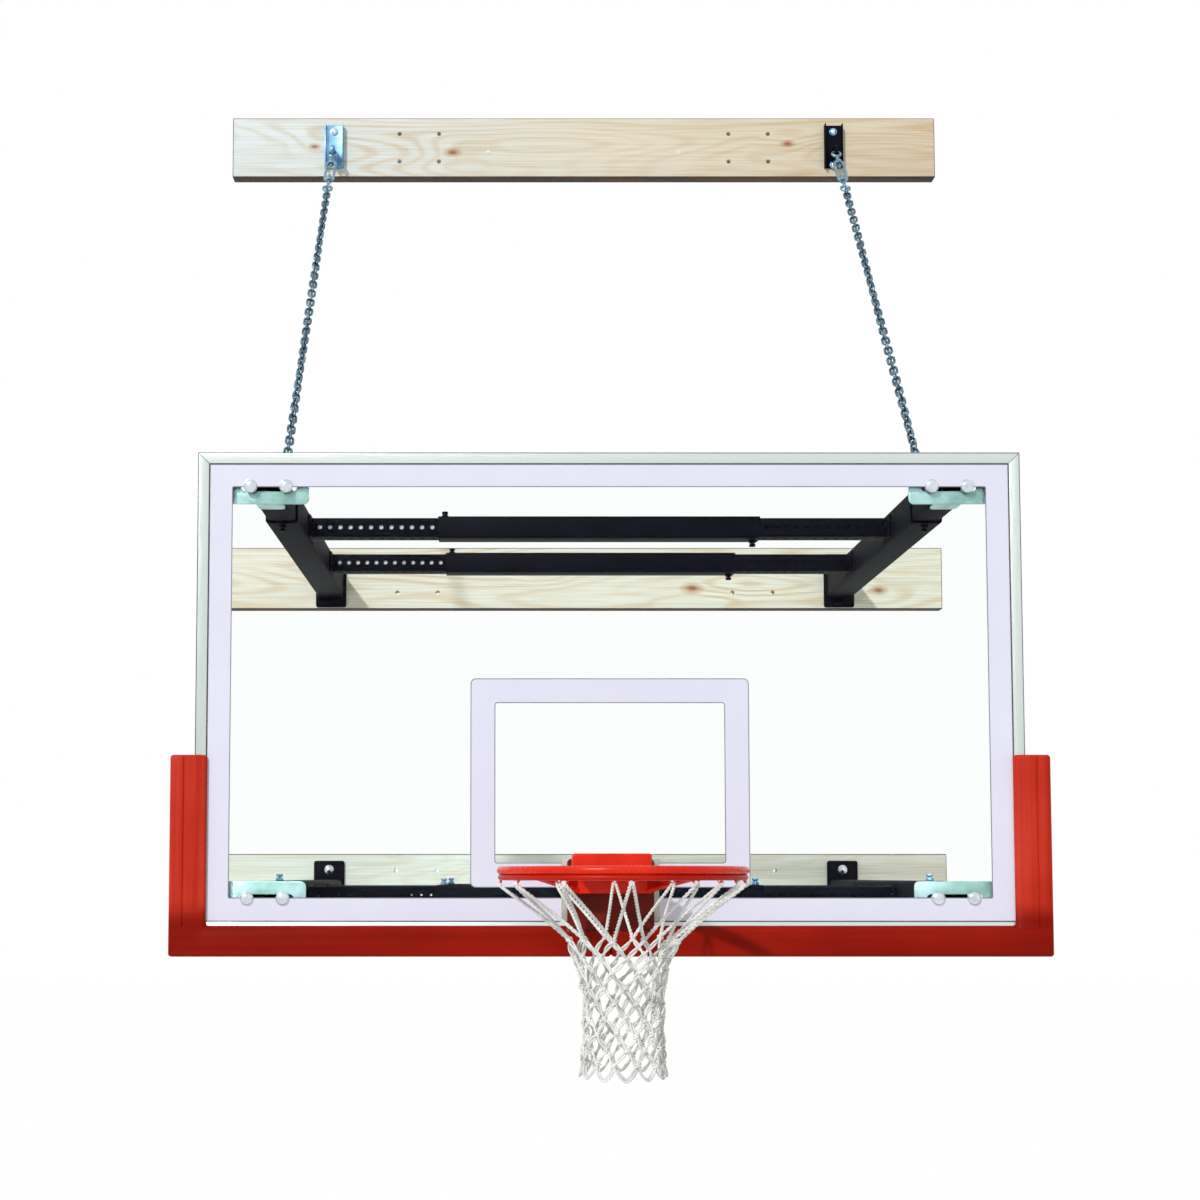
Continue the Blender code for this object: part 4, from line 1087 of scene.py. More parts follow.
def arm_height(row):
    """The height of the upper or lower arms' middle, which their cross tubes share."""
    low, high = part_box(f"cross_sleeve_{row}_front")
    return (low.z + high.z) / 2


def chain_line(side):
    """The centres of the wall lug's hole and the arm lug's hole."""
    low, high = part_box(f"chain_bracket_{side}")
    x = (low.x + high.x) / 2
    top_y = high.y - CHANNEL_THICKNESS / 2 - LUG_REACH
    top = Vector((x, top_y, (low.z + high.z) / 2 - WALL_LUG_BELOW))
    foot_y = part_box(f"arm_sleeve_upper_{side}")[0].y + LUG_RADIUS
    return top, Vector((x, foot_y, arm_height("upper") + ARM_LUG_ABOVE))


def lay_on_line(piece, side):
    """Takes a piece that was modelled along Z from the origin and lays it down the chain's line."""
    top, foot = chain_line(side)
    stand(piece, top, (foot - top).to_track_quat("Z", "Y").to_euler())


top, foot = chain_line("left")
print("chain line:", in_mm(top), "to", in_mm(foot), "mm,", round((foot - top).length, 4), "m long")

# %% [markdown]
# A real thread is a ridge wound round a core. The ridge starts as a three-cornered circle, stood
# beside the core, and the Screw modifier winds it up by one pitch a turn. Its two ends are capped,
# so it is a closed shell that sits in the core.

# %% Screws with their thread
PITCH = 0.0016
RIDGE_RADIUS = PITCH * 0.62
CORE_RADIUS = SCREW_RADIUS - 0.0008
THREAD_STEPS = 14


def add_thread(name, start, length):
    """A core along Z with a thread wound on it."""
    core = add_bar(name, (0, 0, start), (0, 0, start + length), CORE_RADIUS, 20)
    start_clean()
    foot = (CORE_RADIUS, 0, start + PITCH)
    bpy.ops.mesh.primitive_circle_add(
        vertices=3, radius=RIDGE_RADIUS, rotation=(math.pi / 2, 0, 0), location=foot
    )
    ridge = settle("ridge")
    turn_piece(ridge, math.pi / 2, "Y", foot)
    wind_up(ridge, 2 * math.pi, THREAD_STEPS, PITCH, int((length - 2 * PITCH) / PITCH))
    cap_ends(ridge, 4)
    return gather(name, [core, ridge])


# %% [markdown]
# An eye screw is a ring of rod with a short neck and its screw. Ring, neck and screw overlap and
# are gathered into one piece, as forged and welded parts are one.

# %% Eye screws
NECK_LENGTH = 0.006
SCREW_LENGTH = 0.064


def make_eye(name, side, at, heading):
    """An eye at a distance down the line. Its screw runs on (heading 1) or back (heading -1)."""
    ring = add_ring("ring", (0, 0, at), EYE_RADIUS, EYE_ROD, (math.pi / 2, 0, 0), 40, 14)
    root = at + heading * EYE_RADIUS
    neck_end = root + heading * NECK_LENGTH
    neck = add_bar("neck", (0, 0, root), (0, 0, neck_end), SCREW_RADIUS, 24)
    soften(neck, 0.0008)
    start = min(neck_end, root + heading * SCREW_LENGTH)
    screw = add_thread("screw", start, SCREW_LENGTH - NECK_LENGTH)
    eye = gather(f"{name}_{side}", [ring, neck, screw])
    lay_on_line(eye, side)
    return fit(eye, "wall_frame", buckle_zinc, f"turnbuckle_{name}_{side}")


for side, sign in SIDES:
    make_eye("upper_eye", side, UPPER_EYE_AT, 1)
    made = make_eye("lower_eye", side, LOWER_EYE_AT, -1)
    print(made.name, len(made.data.polygons), "faces")

# %% [markdown]
# The turnbuckle's body is an open forged frame. A rounded bar is slotted down its middle, a round
# boss is joined on at each end, and a bore runs through both for the screws.

# %% Turnbuckle bodies
BODY_HALF_WIDTH = 0.016
BODY_HALF_THICKNESS = 0.0036
BODY_SHORTER = 0.003
BODY_CORNER = 0.011
SLOT_CORNER = 0.005
BOSS_RADIUS = 0.0095
BOSS_LENGTH = 0.018
BORE_RADIUS = 0.00545


def make_turnbuckle(side):
    start = BUCKLE_FROM
    end = BUCKLE_FROM + BUCKLE_LENGTH
    low = (-BODY_HALF_WIDTH, -BODY_HALF_THICKNESS, start + BODY_SHORTER)
    high = (BODY_HALF_WIDTH, BODY_HALF_THICKNESS, end - BODY_SHORTER)
    body = add_slab(f"buckle_{side}", low, high, BODY_CORNER, 8)
    slot_low = (-BOSS_RADIUS, -2 * PAST, start + BOSS_LENGTH)
    slot_high = (BOSS_RADIUS, 2 * PAST, end - BOSS_LENGTH)
    carve(body, add_slab("slot", slot_low, slot_high, SLOT_CORNER, 6))
    soften(body, 0.0014, 3)
    for foot in (start, end - BOSS_LENGTH):
        boss = add_bar("boss", (0, 0, foot), (0, 0, foot + BOSS_LENGTH), BOSS_RADIUS, 40)
        soften(boss, 0.0012, 3)
        join_on(body, boss)
    carve(body, add_bar("bore", (0, 0, start - PAST), (0, 0, end + PAST), BORE_RADIUS, 32))
    lay_on_line(body, side)
    return fit(body, f"turnbuckle_{side}", buckle_zinc, f"turnbuckle_body_{side}")


for side, sign in SIDES:
    made = make_turnbuckle(side)
    print(made.name, in_mm(made.dimensions), "mm")

# %% [markdown]
# Welded chain is made of oval links, each a quarter turn from the last. One link is a ring whose
# two halves are pulled apart. A second link is its copy, turned and moved down by one pitch, and
# the Array modifier repeats the pair. A real chain never hangs quite straight, so a Simple Deform
# twists the whole run by half a turn. The first link still lies across the eye and the last one
# across the lug.

# %% Chains
LINK_COUNT = 60
LINK_SIDES = 16
LINK_ROD = 0.0033
LINK_RADIUS = 0.0085
LUG_SEAT = 0.0098
CHAIN_TWIST = math.pi


def make_chain(side):
    top, foot = chain_line(side)
    start = LOWER_EYE_AT + EYE_RADIUS - EYE_ROD
    end = (foot - top).length - LUG_SEAT
    pitch = (end - start) / LINK_COUNT
    pull = pitch / 2 - (LINK_RADIUS - LINK_ROD)
    half_step = math.pi / LINK_SIDES
    turn = (math.pi / 2, -half_step, 0)
    link = add_ring("link", (0, 0, 0), LINK_RADIUS, LINK_ROD, turn, LINK_SIDES, 8)
    for sign in (-1, 1):
        shift_edges(link, lambda a, b: sign * a.z > 0 and sign * b.z > 0, (0, 0, sign * pull))
    second = copy_piece(link, "second_link")
    turn_piece(link, math.pi / 2, "Z", (0, 0, 0))
    move(link, (0, 0, pitch / 2))
    move(second, (0, 0, pitch * 3 / 2))
    chain = gather(f"welded_chain_{side}", [link, second])
    row = chain.modifiers.new("links", "ARRAY")
    row.count = LINK_COUNT // 2
    row.use_relative_offset = False
    row.use_constant_offset = True
    row.constant_offset_displace = (0, 0, 2 * pitch)
    apply_modifier(chain, row)
    twist = chain.modifiers.new("twist", "SIMPLE_DEFORM")
    twist.deform_method = "TWIST"
    twist.deform_axis = "Z"
    twist.angle = CHAIN_TWIST
    apply_modifier(chain, twist)
    move(chain, (0, 0, start))
    print(chain.name, "has", LINK_COUNT, "links at a pitch of", round(pitch * 1000, 1), "mm")
    lay_on_line(chain, side)
    return fit(chain, "wall_frame", chain_zinc, f"chain_{side}", smooth=60)


for side, sign in SIDES:
    make_chain(side)

# %% [markdown]
# The four arms telescope. Each outer sleeve is a square tube welded to its wall plate, and the weld
# is an eased step round its foot. The upper sleeves also carry the lugs that the chains pull on.

# %% Arm sleeves
SLEEVE_HALF = 0.0381
SLEEVE_WALL = 0.0048
SLEEVE_CORNER = 0.008
PLATE_THICKNESS = 0.006
PLATE_CORNER = 0.007
WELD = 0.004
WELD_CORNER = 0.010


def make_sleeve(row, side):
    low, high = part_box(f"arm_sleeve_{row}_{side}")
    x = (low.x + high.x) / 2
    z = arm_height(row)
    plate_front = high.y - PLATE_THICKNESS
    tube_low = (x - SLEEVE_HALF, low.y, z - SLEEVE_HALF)
    tube_high = (x + SLEEVE_HALF, plate_front + 0.0005, z + SLEEVE_HALF)
    sleeve = add_tube(f"sleeve_{row}_{side}", tube_low, tube_high, SLEEVE_WALL, 1, SLEEVE_CORNER)
    plate = add_slab("plate", (low.x, plate_front, low.z), high, PLATE_CORNER)
    soften(plate, 0.0012)
    join_on(sleeve, plate)
    out = SLEEVE_HALF + WELD * 0.7
    weld_low = (x - out, plate_front - WELD, z - out)
    weld = add_slab("weld", weld_low, (x + out, plate_front + 0.001, z + out), WELD_CORNER)
    soften(weld, 0.0018, 3)
    join_on(sleeve, weld)
    if row == "upper":
        hole = chain_line(side)[1]
        root = (hole.y, z + SLEEVE_HALF - LUG_SUNK)
        join_on(sleeve, add_lug("lug", x, (hole.y, hole.z), root))
    return fit(sleeve, "wall_frame", black_coat, f"arm_sleeve_{row}_{side}")


for row in ROWS:
    for side, sign in SIDES:
        made = make_sleeve(row, side)
        print(made.name, in_mm(made.dimensions), "mm")

# %% [markdown]
# The inner arms slide in the sleeves and carry the glass. They are plain square tube, a little
# smaller, and their open front ends show behind the pane.

# %% Inner arms
INNER_WALL = 0.004

for row in ROWS:
    for side, sign in SIDES:
        node = f"arm_inner_{row}_{side}"
        arm = add_tube(f"inner_arm_{row}_{side}", *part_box(node), INNER_WALL, 1)
        fit(arm, "backboard", black_coat, node)
print(arm.name, in_mm(arm.dimensions), "mm")

# %% [markdown]
# A lag screw holds each wall plate above and below the arm. Its head is domed over a washer. A set
# screw near each sleeve's front locks the inner arm: a nut welded on the tube with a bolt through
# it.

# %% Lag screws and set screws
PLATE_SCREWS = {"above": 0.068, "below": -0.053}
SCREW_WASHER = 0.0135
SCREW_WASHER_THICK = 0.0022
SCREW_WASHER_SUNK = 0.0003
SCREW_DOME = 0.0105
SCREW_DOME_HEIGHT = 0.0065
SCREW_DOME_SUNK = 0.0004
SET_NUT = 0.0095
SET_NUT_HEIGHT = 0.007
SET_SHANK = 0.0045
SET_SHANK_SHOWS = 0.003
SET_HEAD = 0.0085
SET_HEAD_HEIGHT = 0.006
SET_SUNK = 0.001
SET_SCREW_IN = 0.016


def make_plate_screw(row, side, spot, finish):
    low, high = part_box(f"arm_sleeve_{row}_{side}")
    x = (low.x + high.x) / 2
    front = high.y - PLATE_THICKNESS
    z = arm_height(row) + PLATE_SCREWS[spot]
    face = front - SCREW_WASHER_THICK
    root = (x, front + SCREW_WASHER_SUNK, z)
    washer = add_washer("washer", root, (x, face, z), SCREW_WASHER)
    foot = (x, face + SCREW_DOME_SUNK, z)
    dome = add_dome("dome", foot, (0, -SCREW_DOME_HEIGHT, 0), SCREW_DOME)
    fit(gather(f"plate_screw_{row}_{side}_{spot}", [washer, dome]), "wall_frame", finish)


def make_set_screw(name, foot, out, finish):
    """A set screw at a foot point on a tube, standing out along a direction."""
    foot = Vector(foot)
    out = Vector(out)
    nut = add_hexagon("nut", foot - out * SET_SUNK, foot + out * SET_NUT_HEIGHT, SET_NUT)
    head_foot = foot + out * (SET_NUT_HEIGHT + SET_SHANK_SHOWS)
    shank_end = foot + out * (SET_NUT_HEIGHT + SET_SHANK_SHOWS + SET_SUNK)
    shank = add_bar("shank", foot, shank_end, SET_SHANK, 20)
    head = add_hexagon("head", head_foot, head_foot + out * SET_HEAD_HEIGHT, SET_HEAD)
    return fit(gather(name, [nut, shank, head]), "wall_frame", finish)


screw_finish = {"upper": black_coat, "lower": blue_zinc}
for row, finish in (("upper", black_coat), ("lower", bright)):
    for side, sign in SIDES:
        make_plate_screw(row, side, "above", finish)
        make_plate_screw(row, side, "below", black_coat)
        low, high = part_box(f"arm_sleeve_{row}_{side}")
        out = -1 if row == "upper" else 1
        foot_z = arm_height(row) + out * SLEEVE_HALF
        foot = ((low.x + high.x) / 2, low.y + SET_SCREW_IN, foot_z)
        made = make_set_screw(f"arm_set_screw_{row}_{side}", foot, (0, 0, out), screw_finish[row])
print(made.name, in_mm(made.dimensions), "mm")

# %% [markdown]
# Cross tubes hold each pair of arms apart. A sleeve spans the middle, and a perforated tube runs
# from it to a flange on each arm. The perforated tube is modelled once, on the left, and copied to
# the other seven places. Its holes are drilled across first and then down.

# %% Perforated tubes
CROSS_WALL = 0.0032
CROSS_INNER_HALF = 0.02395
CROSS_INNER_CORNER = 0.005
CROSS_SLEEVE_HALF = 0.02775
FLANGE_PLATE = 0.005
FLANGE_CORNER = 0.006
FLANGE_BOLT_AT = 0.037
FLANGE_BOLT = 0.0085
FLANGE_BOLT_HEIGHT = 0.007
FLANGE_BOLT_SUNK = 0.0005
FIRST_HOLE = 0.025
HOLE_PITCH = 0.0254
HOLE_COUNT = 12
HOLE_RADIUS = 0.0055


def make_perforated_tube():
    """The upper front tube on the left, with its flange and bolts."""
    low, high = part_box("cross_inner_upper_front_left")
    y = (low.y + high.y) / 2
    z = arm_height("upper")
    half = CROSS_INNER_HALF
    tube_low = (low.x + 0.001, y - half, z - half)
    tube_high = (high.x, y + half, z + half)
    tube = add_tube("tube", tube_low, tube_high, CROSS_WALL, 0, CROSS_INNER_CORNER)
    for axis in (1, 2):
        drills = []
        for i in range(HOLE_COUNT):
            place = Vector((low.x + FIRST_HOLE + i * HOLE_PITCH, y, z))
            reach = Vector((0, 0, 0))
            reach[axis] = 2 * half
            drills.append(add_bar("drill", place - reach, place + reach, HOLE_RADIUS, 20))
        carve(tube, gather("drills", drills))
    flange = add_block("flange", low, (low.x + FLANGE_PLATE, high.y, high.z))
    bevel_edges(flange, lambda a, b: abs(a.x - b.x) > 0.5 * FLANGE_PLATE, FLANGE_CORNER, 4)
    soften(flange, 0.0008)
    bolts = []
    for offset in (-FLANGE_BOLT_AT, FLANGE_BOLT_AT):
        foot = Vector((low.x + FLANGE_PLATE - FLANGE_BOLT_SUNK, y + offset, z))
        head = foot + Vector((FLANGE_BOLT_HEIGHT, 0, 0))
        bolts.append(add_hexagon("bolt", foot, head, FLANGE_BOLT))
    return gather("perforated", [tube, flange, *bolts])


pattern = make_perforated_tube()
base_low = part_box("cross_inner_upper_front_left")[0]
for row in ROWS:
    for place in PLACES:
        for side, sign in SIDES:
            node = f"cross_inner_{row}_{place}_{side}"
            low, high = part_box(node)
            shift = (0, low.y - base_low.y, low.z - base_low.z)
            tube = copy_piece(pattern, f"perforated_{row}_{place}_{side}", shift, sign > 0)
            fit(tube, "wall_frame", black_coat, node, smooth=30)
bpy.data.objects.remove(pattern)
print(tube.name, len(tube.data.polygons), "faces,", in_mm(tube.dimensions), "mm")

# %% [markdown]
# The lock holes of the upper left tubes show as white dots, with the bright room behind them. From
# this camera no line of sight passes through both walls, so a thin pale tube lies inside those two
# and shows pale through the holes: painted light that stands in for the room behind.

# %% Bare linings
LINING = 0.0006
LINING_CORNER = 0.003

for place in PLACES:
    low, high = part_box(f"cross_inner_upper_{place}_left")
    y = (low.y + high.y) / 2
    z = arm_height("upper")
    half = CROSS_INNER_HALF - CROSS_WALL - 0.0002
    lining_low = (low.x + FLANGE_PLATE, y - half, z - half)
    lining_high = (high.x - 0.001, y + half, z + half)
    lining = add_tube(f"tube_lining_{place}", lining_low, lining_high, LINING, 0, LINING_CORNER)
    # The lining is painted light seen through the holes.
    fit(lining, "wall_frame", painted_light_lining)
print(lining.name, in_mm(lining.dimensions), "mm")

# %% [markdown]
# The sleeves over the perforated tubes are locked by a set screw at each end, on top at the left
# and below at the right on the upper pair, and on top at both ends on the lower one.

# %% Cross sleeves
for row in ROWS:
    for place in PLACES:
        node = f"cross_sleeve_{row}_{place}"
        low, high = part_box(node)
        sleeve = add_tube(f"middle_sleeve_{row}_{place}", low, high, CROSS_WALL, 0)
        fit(sleeve, "wall_frame", black_coat, node)
        middle = (low + high) / 2
        for side, sign in SIDES:
            up = -1 if row == "upper" and side == "right" else 1
            foot_x = sign * (high.x - SET_SCREW_IN)
            foot = (foot_x, middle.y, middle.z + up * CROSS_SLEEVE_HALF)
            name = f"cross_set_screw_{row}_{place}_{side}"
            make_set_screw(name, foot, (0, 0, up), screw_finish[row])
print(sleeve.name, in_mm(sleeve.dimensions), "mm")

# %% [markdown]
# Behind each corner of the glass a zinc-plated bracket ties the pane to its arm: a plate with one
# long slot for its two bolts, and an ear above and below the tube. The slot lets the pane be
# shifted before the bolts are tightened. The bracket is made once at the upper left and copied.

# %% Board brackets
BRACKET_THICK = 0.006
BRACKET_CORNER = 0.012
EAR_NEAR = 0.0329
EAR_THICK = 0.0046
EAR_DEPTH = 0.055
EAR_HALF = 0.030
SLOT_REACH = 0.0625
SLOT_HALF = 0.0095


def make_bracket():
    low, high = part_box("board_bracket_upper_left")
    x = (low.x + high.x) / 2
    z = arm_height("upper")
    plate_high = (high.x, low.y + BRACKET_THICK, high.z)
    bracket = add_slab("bracket", low, plate_high, BRACKET_CORNER)
    soften(bracket, 0.0012)
    for sign in (-1, 1):
        foot, head = sorted((z + sign * EAR_NEAR, z + sign * (EAR_NEAR + EAR_THICK)))
        ear_high = (x + EAR_HALF, low.y + EAR_DEPTH, head)
        ear = add_block("ear", (x - EAR_HALF, low.y + 0.001, foot), ear_high)
        at_back = lambda a, b: min(a.y, b.y) > low.y + 0.01 and abs(a.z - b.z) > 0.001
        bevel_edges(ear, at_back, BRACKET_CORNER, 5)
        soften(ear, 0.001)
        join_on(bracket, ear)
    slot_low = (x - SLOT_REACH, low.y - PAST, z - SLOT_HALF)
    slot_high = (x + SLOT_REACH, low.y + 2 * PAST, z + SLOT_HALF)
    carve(bracket, add_slab("slot", slot_low, slot_high, SLOT_HALF * 0.98, 8))
    face_outwards(bracket)
    return bracket


pattern = make_bracket()
base_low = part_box("board_bracket_upper_left")[0]
for row in ROWS:
    for side, sign in SIDES:
        node = f"board_bracket_{row}_{side}"
        low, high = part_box(node)
        shift = (0, 0, low.z - base_low.z)
        bracket = copy_piece(pattern, f"corner_bracket_{row}_{side}", shift, sign > 0)
        fit(bracket, "backboard", zinc, node)
bpy.data.objects.remove(pattern)
print(bracket.name, in_mm(bracket.dimensions), "mm")

# %% [markdown]
# Eight domed bolts clamp the glass to the brackets. Each is a mirror-bright dome over a thin collar
# in front of the pane, a shank through it, and a washer and nut behind. One is made and seven are
# copied.

# %% Board bolts
HEAD_RADIUS = 0.0152
HEAD_HEIGHT = 0.0078
COLLAR_THICK = 0.0012
DOME_SHARE = 0.96
SHANK_RADIUS = 0.005
SHANK_SHOWS = 0.0012
NUT_HEIGHT = 0.008
NUT_WASHER = 0.0115
NUT_WASHER_THICK = 0.0016
NUT_RADIUS = 0.0098
BOLT_SUNK = 0.001


def make_board_bolt():
    low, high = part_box("board_bolt_upper_left_inner")
    x = (low.x + high.x) / 2
    z = (low.z + high.z) / 2
    seat = low.y + HEAD_HEIGHT
    collar = add_washer("collar", (x, seat, z), (x, seat - COLLAR_THICK, z), HEAD_RADIUS)
    foot = (x, seat - BOLT_SUNK, z)
    rise = (0, low.y - seat + COLLAR_THICK, 0)
    dome = add_dome("dome", foot, rise, HEAD_RADIUS * DOME_SHARE)
    shank = add_bar("shank", foot, (x, high.y, z), SHANK_RADIUS, 24)
    back = high.y - NUT_HEIGHT
    washer = add_washer("washer", (x, back, z), (x, back + NUT_WASHER_THICK, z), NUT_WASHER)
    nut_end = (x, high.y - SHANK_SHOWS, z)
    nut = add_hexagon("nut", (x, back + BOLT_SUNK, z), nut_end, NUT_RADIUS)
    return gather("board_bolt", [collar, dome, shank, washer, nut])


pattern = make_board_bolt()
base_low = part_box("board_bolt_upper_left_inner")[0]
for row in ROWS:
    for side, sign in SIDES:
        for end in ("inner", "outer"):
            node = f"board_bolt_{row}_{side}_{end}"
            low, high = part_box(node)
            bolt = copy_piece(pattern, f"glass_bolt_{row}_{side}_{end}", low - base_low)
            fit(bolt, "backboard", bright, node)
bpy.data.objects.remove(pattern)
print(bolt.name, in_mm(bolt.dimensions), "mm")

# %% [markdown]
# The frame's own pane has the right outline, with its notch and bolt holes, so it stays and only
# gets the glass material.

# %% The pane
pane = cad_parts["glass_panel"]
pane.data.materials.clear()
pane.data.materials.append(glass)
pane_low, pane_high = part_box("glass_panel")
print("pane:", in_mm(pane_low), "to", in_mm(pane_high), "mm")

# %% [markdown]
# The print is opaque and lies on the front of the pane: a two-inch border just inside the
# aluminium, and the target over the ring. Each is a thin plate with its middle cut out. Narrow
# frames of grey fit round its edges as hair lines, a painted shadow of the print's edge, so that
# the print is white from behind the glass too.

# %% Frames of print
BOARD_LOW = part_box("frame_rail_bottom")[0]
BOARD_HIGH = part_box("frame_rail_top")[1]
INCH = 0.0254
PRINT_PROUD = 0.0003
LINE_PROUD = PRINT_PROUD / 2
PRINT_SUNK = 0.0004
EDGE_LINE = 0.0020


def add_frame(name, outer, inner, corners, proud):
    """A flat frame on the glass. Outer and inner are (left, foot, right, head)."""
    front = pane_low.y
    frame_from = (outer[0], front - proud, outer[1])
    plate = add_slab(name, frame_from, (outer[2], front + PRINT_SUNK, outer[3]), corners[0], 8)
    window_from = (inner[0], front - PAST, inner[1])
    window = add_slab("window", window_from, (inner[2], front + PAST, inner[3]), corners[1], 8)
    carve(plate, window)
    return plate


def grow(box, by):
    """The rectangle with each side moved outwards."""
    return (box[0] - by, box[1] - by, box[2] + by, box[3] + by)


lip_inside = grow((BOARD_LOW.x, BOARD_LOW.z, BOARD_HIGH.x, BOARD_HIGH.z), -INCH)
print("inside the aluminium:", in_mm(lip_inside), "mm")

# %% [markdown]
# The border and its line stop at the notch for the rim's support, like the pane. The target and its
# lines stop there too, as the support covers a little of the target's foot.

# %% Printed border and target
NOTCH_GAP = 0.0006
TARGET_HALF = 0.305
TARGET_RISE = 0.102
TARGET_HEIGHT = 0.457
support_low, support_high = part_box("rim_support")


def cut_notch(piece):
    """Cuts the notch for the rim's support out of a flat frame on the glass."""
    low = (support_low.x - NOTCH_GAP, pane_low.y - PAST, BOARD_LOW.z)
    high = (support_high.x + NOTCH_GAP, pane_low.y + PAST, support_high.z + NOTCH_GAP)
    carve(piece, add_block("notch", low, high))


target_foot = BOARD_LOW.z + TARGET_RISE
border_outer = grow(lip_inside, 0.003)
border_inner = grow(lip_inside, -2 * INCH)
target_outer = (-TARGET_HALF, target_foot, TARGET_HALF, target_foot + TARGET_HEIGHT)
target_inner = grow(target_outer, -2 * INCH)
outer_edge = grow(target_outer, EDGE_LINE)
inner_edge = grow(target_inner, -EDGE_LINE)

border = add_frame("printed_border", border_outer, border_inner, (0.002, 0.004), PRINT_PROUD)
border_edge = grow(border_inner, -EDGE_LINE)
# The grey lines are a painted shadow along the print's edges.
line = add_frame("border_line", border_inner, border_edge, (0.004, 0.003), LINE_PROUD)
target = add_frame("printed_target", target_outer, target_inner, (0.010, 0.007), PRINT_PROUD)
outer_line = add_frame("outer_line", outer_edge, target_outer, (0.012, 0.010), LINE_PROUD)
inner_line = add_frame("inner_line", target_inner, inner_edge, (0.007, 0.005), LINE_PROUD)
target_line = gather("target_line", [outer_line, inner_line])
for frame_piece in (border, line, target, target_line):
    cut_notch(frame_piece)
fit(border, "backboard", print_white)
fit(target, "backboard", print_white)
fit(line, "backboard", painted_shadow_print)
fit(target_line, "backboard", painted_shadow_print)
print("target:", in_mm(target.dimensions), "mm")

# %% [markdown]
# The aluminium frame is one extrusion, sawn at 45 degrees and screwed at the corners. A block is
# cut to the section by three channels: the slot for the pane, the hollow behind it, and the opening
# that leaves a short rear flange. Bisect saws the mitres, and each rail is then turned to its own
# side of the board. The chamfer on its outer edge is darker and outlines the pale metal.

# %% Frame rails
RAIL_DEPTH = 0.038
LIP_THICK = 0.0025
RAIL_WALL = 0.003
PANE_SLOT = 0.0133
REAR_FLANGE = 0.020
SAW_GAP = 0.0002
RAIL_CHAMFER = 0.003
TOOL_REACH = 1.2


def make_rail(name, length, foot, turn, finish):
    """The bottom rail, modelled about its own foot and turned about Y onto its side."""
    half = length / 2
    rail = add_block(name, (-half, 0, 0), (half, RAIL_DEPTH, INCH))
    slot_to = LIP_THICK + PANE_SLOT
    back = RAIL_DEPTH - RAIL_WALL
    channels = (
        (LIP_THICK, RAIL_WALL, slot_to),
        (slot_to + LIP_THICK, RAIL_WALL, back),
        (back - 0.001, REAR_FLANGE, RAIL_DEPTH + PAST),
    )
    for near, rise, far in channels:
        carve(rail, add_block("channel", (-TOOL_REACH, near, rise), (TOOL_REACH, far, 2 * INCH)))
    for sign in (-1, 1):
        saw_off(rail, (sign * (half - SAW_GAP), 0, 0), (sign, 0, 1))
    on_corner = lambda a, b: max(abs(a.y), abs(b.y), abs(a.z), abs(b.z)) < 0.0001
    bevel_edges(rail, on_corner, RAIL_CHAMFER, 1)
    soften(rail, 0.0005, 2)
    stand(rail, foot, (0, turn, 0))
    fit(rail, "backboard", finish, name.replace("_extrusion", ""))
    paint_faces(rail, rail_edge, lambda spot, normal: abs(normal.y + 0.707) < 0.25)
    return rail


wide = BOARD_HIGH.x - BOARD_LOW.x
tall = BOARD_HIGH.z - BOARD_LOW.z
middle_z = (BOARD_HIGH.z + BOARD_LOW.z) / 2
front_y = BOARD_LOW.y
rails = (
    ("bottom", wide, (0, front_y, BOARD_LOW.z), 0, level_rail),
    ("top", wide, (0, front_y, BOARD_HIGH.z), math.pi, level_rail),
    ("left", tall, (BOARD_LOW.x, front_y, middle_z), math.pi / 2, upright_rail),
    ("right", tall, (BOARD_HIGH.x, front_y, middle_z), -math.pi / 2, upright_rail),
)
for edge, *rest in rails:
    made = make_rail(f"frame_rail_{edge}_extrusion", *rest)
    print(made.name, in_mm(made.dimensions), "mm")

# %% [markdown]
# A strip of dark rubber seals the pane in the aluminium. From the front only its thin lip shows, as
# one more dark outline, so it is a flat frame like the print, standing a millimetre proud.

# %% Glazing seal
SEAL_WIDTH = 0.0022
SEAL_PROUD = 0.0011

seal_outer = grow(lip_inside, 0.0005)
seal_inner = grow(lip_inside, -SEAL_WIDTH)
seal = add_frame("glazing_seal", seal_outer, seal_inner, (0.001, 0.001), SEAL_PROUD)
cut_notch(seal)
fit(seal, "backboard", seal_rubber)
print("seal:", in_mm(seal.dimensions), "mm")

# %% [markdown]
# The edge pad guards players' heads. It is moulded in two L-shaped halves that wrap the lower
# corners. Each half grows from a block at the corner: one face is pulled up the side of the board
# and one along its foot. The inner front edge is then leaned back, which gives the darker slanted
# strip beside the glass, and a shallow groove runs down the middle of the face, as the mould leaves
# it.

# %% Edge pads
PAD_LEG_IN = 0.029
PAD_FOOT_UP = 0.017
PAD_STRIP = 0.022
PAD_LEAN = 0.008
PAD_EDGE = 0.007
PAD_GROOVE = 0.0016
LEG_GROOVE_IN = 0.031
RAIL_GAP = 0.0003
TOUCHING = 0.001


